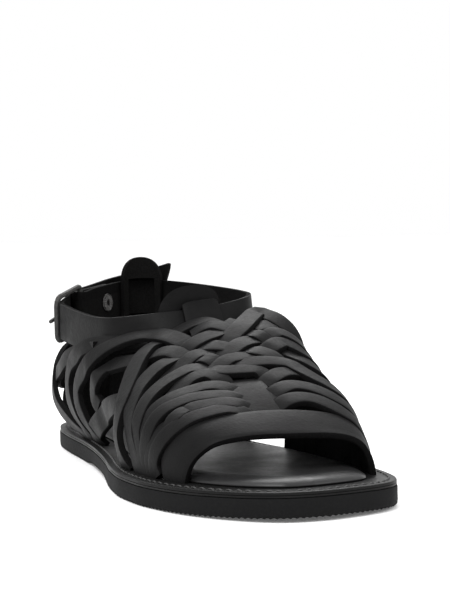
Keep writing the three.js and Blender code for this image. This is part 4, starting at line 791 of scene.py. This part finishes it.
def belt_point(i, a, b):
    """a up the strap's width from its middle, b out of its face; i is a fractional index along it."""
    i = np.clip(i, 0, len(BELT) - 1.001)
    k = int(i)
    w = i - k
    top = BELT[k, :3] * (1 - w) + BELT[k + 1, :3] * w
    o = OUT[k] * (1 - w) + OUT[k + 1] * w
    o = o / np.linalg.norm(o)
    le, ri = LEAN[k] * (1 - w) + LEAN[k + 1] * w, RISE[k] * (1 - w) + RISE[k + 1] * w
    face = np.array([o[0] * ri, o[1] * ri, le])
    down = np.array([o[0] * le, o[1] * le, -ri])
    mid = top + down * (BELT_W / 2)
    up = max(0.0, a - BELT_W / 2)
    return mid - down * (a - up) + face * b + np.array([0, 0, up]), face


belt = Soup()
P, N, W = [], [], []
nb = len(BELT)
for i in range(nb):
    p, f = belt_point(i, 0, 0)
    P.append(p)
    N.append(f)
    left = BELT_AT[-1] - BELT_AT[i]
    w = BELT_W if left > 12 else 1.2 + (BELT_W - 1.2) * (left / 12) ** 0.85
    W.append(w)
    P[-1] = belt_point(i, (BELT_W - w) / 2, 0)[0] + np.array([0, 0, 1.4 * smooth((26 - left) / 26)])
ribbon(belt, np.array(P), np.array(N), np.array(W), BELT_T, crown=0.12, wave=0.0)
strap = belt.make("ankle_strap_leather", LEATHER_SET)
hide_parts("ankle_strap")


# ------------------------------------------------------------------ tabs and tongue
def lap_index(x, rear):
    best, d = 0, 1e9
    for i in range(nb):
        if BELT_AT[i] < 30 or BELT_AT[-1] - BELT_AT[i] < 95:
            continue
        if rear == (BELT[i, 1] > 70) and abs(BELT[i, 0] - x) < d:
            best, d = i, abs(BELT[i, 0] - x)
    return best


def lap_step(i0, mm):
    return float(np.interp(BELT_AT[int(i0)] + mm, BELT_AT, np.arange(nb)))


def tab(soup, spec, rear):
    i0 = lap_index(spec["x"], rear)
    half = BELT_W / 2
    L, Rr = spec["left"], spec["right"]
    Wd = L + Rr
    sl, sr = -spec["slot_left"] - 0.8, spec["slot_right"] + 0.8
    cols = np.unique(np.round(np.r_[np.linspace(-L, sl, 9), np.linspace(sl, sr, 16), np.linspace(sr, Rr, 9)], 4))
    cut = half + 1.05

    def nose(mm):
        u = 2 * (mm + L) / Wd - 1
        return spec["upper"] * math.sqrt(max(0.03, 1 - abs(u) ** 2.3))

    bottom = -half - spec["lower"]
    plates = []
    low = np.linspace(bottom, -cut, 7)
    mid_ = np.linspace(-cut, cut, 14)
    # one grid with the window's faces left out; every open edge gets a cut-edge face
    c_l, c_m, c_r = cols[cols <= sl + 1e-3], cols[(cols >= sl - 1e-3) & (cols <= sr + 1e-3)], cols[cols >= sr - 1e-3]
    full = []
    rows_a = list(low) + list(mid_[1:])
    top_n = 6

    def col_points(mm):
        i = lap_step(i0, mm)
        top_a = [cut + (half + nose(mm) - cut) * t for t in np.linspace(0, 1, top_n)[1:]]
        out = []
        for a in rows_a + top_a:
            p, f = belt_point(i, a, -TAB_GAP + TAB_T / 2)
            out.append((p, f))
        return out

    grid = [col_points(mm) for mm in cols]
    nr, nc = len(grid[0]), len(cols)
    win_r0, win_r1 = len(low) - 1, len(low) - 1 + len(mid_) - 1
    win_c0, win_c1 = int(np.argmin(abs(cols - sl))), int(np.argmin(abs(cols - sr)))
    V, F, M = [], [], []
    vid = {}
    for s_, off in ((0, 0.0), (1, -TAB_T)):
        for c in range(nc):
            for r in range(nr):
                p, f = grid[c][r]
                vid[s_, c, r] = len(V)
                V.append(p + f * off)
    keep = lambda c, r: not (win_c0 <= c < win_c1 and win_r0 <= r < win_r1)
    edges = {}
    for c in range(nc - 1):
        for r in range(nr - 1):
            if not keep(c, r):
                continue
            q = [(c, r), (c + 1, r), (c + 1, r + 1), (c, r + 1)]
            F.append([vid[0, a, b] for a, b in q])
            M.append(0)
            F.append([vid[1, a, b] for a, b in q[::-1]])
            M.append(2)
            for k in range(4):
                e = (q[k], q[(k + 1) % 4])
                edges[e] = 1
    for (a, b) in list(edges):
        if (b, a) in edges:
            continue
        F.append([vid[0, a[0], a[1]], vid[1, a[0], a[1]], vid[1, b[0], b[1]], vid[0, b[0], b[1]]])
        M.append(1)
    soup.add(V, F, M)
    # the bridge in front of the strap
    slot = half + 0.7
    i_, o_ = TAB_GAP - TAB_T / 2, TAB_GAP + TAB_T / 2
    prof = [(-slot - 4.6, -TAB_GAP + 0.6), (-slot - 2.9, i_ - 0.9), (-slot - 1.4, o_ - 0.55), (-slot + 0.8, o_ + 0.05), (-slot * 0.5, o_ + 0.15), (0, o_ + 0.2), (slot * 0.5, o_ + 0.15), (slot - 0.8, o_ + 0.05), (slot + 1.4, o_ - 0.55), (slot + 2.9, i_ - 0.9), (slot + 4.6, -TAB_GAP + 0.6)]
    back = [(slot + 2.6, -TAB_GAP), (slot + 0.9, -0.6), (slot, i_), (slot * 0.5, i_), (0, i_), (-slot * 0.5, i_), (-slot, i_), (-slot - 0.9, -0.6), (-slot - 2.6, -TAB_GAP)]
    loop = prof + back
    mm = np.linspace(-spec["slot_left"], spec["slot_right"], 12)
    V, F, M = [], [], []
    for j, m_ in enumerate(mm):
        i = lap_step(i0, m_)
        shrink = 0.35 if j in (0, len(mm) - 1) else 0.0
        arc_ = math.sqrt(max(0.0, 1 - abs(2 * (m_ + spec["slot_left"]) / (spec["slot_left"] + spec["slot_right"]) - 1) ** 2.6))
        for q, (a, b) in enumerate(loop):
            b2 = b - shrink if q < len(prof) else b + shrink * 0.3
            if a > slot and not rear:
                a = slot + (a - slot) * (0.25 + 0.75 * arc_)
            V.append(belt_point(i, a, b2)[0])
    k = len(loop)
    for j in range(len(mm) - 1):
        for q in range(k):
            a, b = j * k + q, j * k + (q + 1) % k
            F.append([a, b, b + k, a + k])
            M.append(0 if q < len(prof) - 1 else 2)
    for j0 in (0, len(mm) - 1):
        ids = [j0 * k + q for q in range(k)]
        h = len(prof)
        for q in range(h - 1):
            b0, b1 = min(len(back) - 1, int(round(q / (h - 1) * (len(back) - 1)))), min(len(back) - 1, int(round((q + 1) / (h - 1) * (len(back) - 1))))
            quad = [ids[q], ids[q + 1], ids[k - 1 - b1], ids[k - 1 - b0]]
            quad = list(dict.fromkeys(quad))
            if len(quad) > 2:
                F.append(quad)
                M.append(1)
    soup.add(V, F, M)
    return i0


def fix(o):
    bpy.context.view_layer.objects.active = o
    bpy.ops.object.select_all(action="DESELECT")
    o.select_set(True)
    bpy.ops.object.mode_set(mode="EDIT")
    bpy.ops.mesh.select_all(action="SELECT")
    bpy.ops.mesh.remove_doubles(threshold=0.00001)
    bpy.ops.mesh.normals_make_consistent(inside=False)
    bpy.ops.object.mode_set(mode="OBJECT")


def soft_edges(o, width=0.0005):
    m = o.modifiers.new("rounded", "BEVEL")
    m.width = width
    m.segments = 2
    m.limit_method = "ANGLE"
    m.angle_limit = math.radians(50)
    m.harden_normals = False


tongue_soup = Soup()
ti0 = tab(tongue_soup, TONGUE_TAB, False)


def instep_x(y, x):
    gs = np.linspace(-0.45, 0.65, 90)
    xs = [instep_point(y, g)[0] for g in gs]
    return instep(y, float(np.interp(x, xs, gs)))


TONGUE = [(-104, -9, 9, -2.9), (-96, -10.5, 9.2, -2.2), (-90, -11.4, 9.0, -1.4), (-80, -12.2, 7.6, -0.6), (-70, -12.2, 7.2, -0.6), (-62, -11.5, 7.8, -2.6), (-52, -9.5, 9.5, -4.0), (-38, -8.5, 13, -4.6), (-26, -9, 15, -5.4), (-18, -9.5, 16.5, -6.0)]
rows_p, rows_n = [], []
tab_cols = np.linspace(0, 1, 13)
dense, _ = spline(np.array([(y, l, 0, r, lf) for y, l, r, lf in TONGUE]), count=44)
for y, l, _, r, lf in dense:
    P, N = [], []
    for s_ in tab_cols:
        p, nn = instep_x(float(y), l + (r - l) * s_)
        P.append(p + nn * lf)
        N.append(nn)
    rows_p.append(P)
    rows_n.append(N)
half = BELT_W / 2
foot_a = -half - TONGUE_TAB["lower"] + 1.5
ends = []
for a in (foot_a, foot_a + 3):
    P, N = [], []
    for s_ in tab_cols:
        mm = -TONGUE_TAB["left"] + 1.4 + (TONGUE_TAB["left"] + TONGUE_TAB["right"] - 2.8) * s_
        p, f = belt_point(lap_step(ti0, mm), a, -TAB_GAP + TAB_T / 2 - 0.1)
        P.append(p)
        N.append(f)
    if P[0][0] > P[-1][0]:
        P, N = P[::-1], N[::-1]
    ends.append((P, N))
# ease from the strip into the tab
last_p, last_n = np.array(rows_p[-1]), np.array(rows_n[-1])
e0p, e0n = np.array(ends[0][0]), np.array(ends[0][1])
prev = np.array(rows_p[-4])
t0v = (last_p - prev)
t1v = (np.array(ends[1][0]) - e0p)
for t in np.linspace(0, 1, 14)[1:]:
    h = (2 * t**3 - 3 * t**2 + 1) * last_p + (t**3 - 2 * t**2 + t) * t0v * 3.2 + (-2 * t**3 + 3 * t**2) * e0p + (t**3 - t**2) * t1v * 3.0
    rows_p.append(h)
    rows_n.append(unit(last_n * (1 - t) + e0n * t))
rows_p.append(ends[1][0])
rows_n.append(ends[1][1])
sheet_wall(tongue_soup, np.array(rows_p), np.array(rows_n), 2.2)
tongue = tongue_soup.make("tongue_leather", LEATHER_SET)
fix(tongue)
soft_edges(tongue)
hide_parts("tongue")

heel_soup = Soup()
hi0 = tab(heel_soup, HEEL_TAB, True)
HEEL_STRIP = [(10.3, 0.045, 9), (22, 0.055, 9.5), (36, 0.07, 10.5), (46, 0.085, 11.5)]
rows_p, rows_n = [], []
dense, _ = spline(np.array([(z, u * 100, 0, hw, 0) for z, u, hw in HEEL_STRIP]), count=26)
for z, u, _, hw, _ in dense:
    P, N = [], []
    for s_ in tab_cols:
        p, nn = heel(u / 100 + (-hw + 2 * hw * s_) / 165, float(z))
        P.append(p - nn * 3.9)
        N.append(nn)
    rows_p.append(P)
    rows_n.append(N)
ends = []
for a in (-half - HEEL_TAB["lower"] + 1.5, -half - HEEL_TAB["lower"] + 4):
    P, N = [], []
    for s_ in tab_cols:
        mm = -HEEL_TAB["left"] + 1.5 + (HEEL_TAB["left"] + HEEL_TAB["right"] - 3.5) * s_
        p, f = belt_point(lap_step(hi0, mm), a, -TAB_GAP + TAB_T / 2 - 0.1)
        P.append(p)
        N.append(f)
    if P[0][0] > P[-1][0]:
        P, N = P[::-1], N[::-1]
    ends.append((P, N))
last_p, last_n = np.array(rows_p[-1]), np.array(rows_n[-1])
if last_p[0][0] > last_p[-1][0]:
    rows_p = [r[::-1] for r in rows_p]
    rows_n = [r[::-1] for r in rows_n]
    last_p, last_n = np.array(rows_p[-1]), np.array(rows_n[-1])
e0p, e0n = np.array(ends[0][0]), np.array(ends[0][1])
for t in np.linspace(0, 1, 12)[1:]:
    w = t * t * (3 - 2 * t)
    rows_p.append(last_p * (1 - w) + e0p * w)
    rows_n.append(unit(last_n * (1 - t) + e0n * t))
rows_p.append(ends[1][0])
rows_n.append(ends[1][1])
sheet_wall(heel_soup, np.array(rows_p), np.array(rows_n), 2.3)
heel_tab = heel_soup.make("heel_tab_leather", LEATHER_SET)
fix(heel_tab)
soft_edges(heel_tab)
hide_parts("heel_tab")

# ------------------------------------------------------------------ metal: the CAD's pieces are finer than its leather, and stay
for node in ("buckle_frame", "buckle_prong", "rivet"):
    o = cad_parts[node]
    o.data.materials.clear()
    # the rivet gets the steel whose base colour holds the painted highlight of its glint
    o.data.materials.append(RIVET_STEEL_PAINTED_GLINT if node == "rivet" else STEEL)
    o.data.polygons.foreach_set("use_smooth", [True] * len(o.data.polygons))
    o.data.set_sharp_from_angle(angle=math.radians(50))
    if node == "rivet":
        m = o.modifiers.new("finer", "SUBSURF")
        m.levels = m.render_levels = 2

# ------------------------------------------------------------------ floor, light, camera
fm, nt, b = nodes_of("pale_floor")
co = nt.nodes.new("ShaderNodeTexCoord").outputs["Object"]
nt.links.new(mix_colour(nt, ramp(nt, noise(nt, co, 2.0, 2, 0.5), 0.3, 0.7, 0, 1), (0.93, 0.93, 0.93), (0.95, 0.95, 0.95)), b.inputs["Base Color"])
b.inputs["Roughness"].default_value = 0.6
b.inputs["Specular IOR Level"].default_value = 0.3
b.inputs["Emission Color"].default_value = (1, 1, 1, 1)
b.inputs["Emission Strength"].default_value = 0.1
me = bpy.data.meshes.new("floor")
me.from_pydata([(-40, -40, 0), (40, -40, 0), (40, 40, 0), (-40, 40, 0)], [], [[0, 1, 2, 3]])
me.materials.append(fm)
floor = bpy.data.objects.new("floor", me)
bpy.context.scene.collection.objects.link(floor)

world = bpy.data.worlds.new("studio")
bpy.context.scene.world = world
world.use_nodes = True
bg = world.node_tree.nodes["Background"]
bg.inputs["Color"].default_value = (1, 1, 1, 1)
bg.inputs["Strength"].default_value = 1.0


def area(name, at, aim, size, power, size_y=None):
    l = bpy.data.lights.new(name, "AREA")
    l.energy = power
    l.size = size
    if size_y:
        l.shape = "RECTANGLE"
        l.size_y = size_y
    o = bpy.data.objects.new(name, l)
    bpy.context.scene.collection.objects.link(o)
    o.location = at
    d = Vector(aim) - Vector(at)
    o.rotation_euler = d.to_track_quat("-Z", "Y").to_euler()
    return o


area("key", (-0.7, -0.5, 1.3), (0, 0, 0.03), 0.8, 16)
area("fill", (0.9, -0.8, 0.9), (0, 0, 0.03), 0.7, 4)
area("back", (0.3, 0.9, 1.0), (0, 0, 0.03), 0.8, 10)

yaw, pitch, roll, focal = 0.3492, 0.0393, -0.018, 1646.17
C = (np.array([-243.04, -714.26, 108.21]) + SHIFT) / 1000
fw = np.array([math.sin(yaw) * math.cos(pitch), math.cos(yaw) * math.cos(pitch), -math.sin(pitch)])
rt = np.cross(fw, [0, 0, 1.0])
rt /= np.linalg.norm(rt)
up = np.cross(rt, fw)
r = math.cos(roll) * rt + math.sin(roll) * up
u = -math.sin(roll) * rt + math.cos(roll) * up
cam = bpy.data.cameras.new("camera")
cam.sensor_fit = "HORIZONTAL"
cam.sensor_width = 36
cam.lens = focal * 36 / 450
cam.clip_start = 0.01
cam_o = bpy.data.objects.new("camera", cam)
bpy.context.scene.collection.objects.link(cam_o)
cam_o.matrix_world = Matrix(((r[0], u[0], -fw[0], C[0]), (r[1], u[1], -fw[1], C[1]), (r[2], u[2], -fw[2], C[2]), (0, 0, 0, 1)))
bpy.context.scene.camera = cam_o
bpy.context.scene.view_settings.view_transform = "Standard"

bpy.context.view_layer.update()
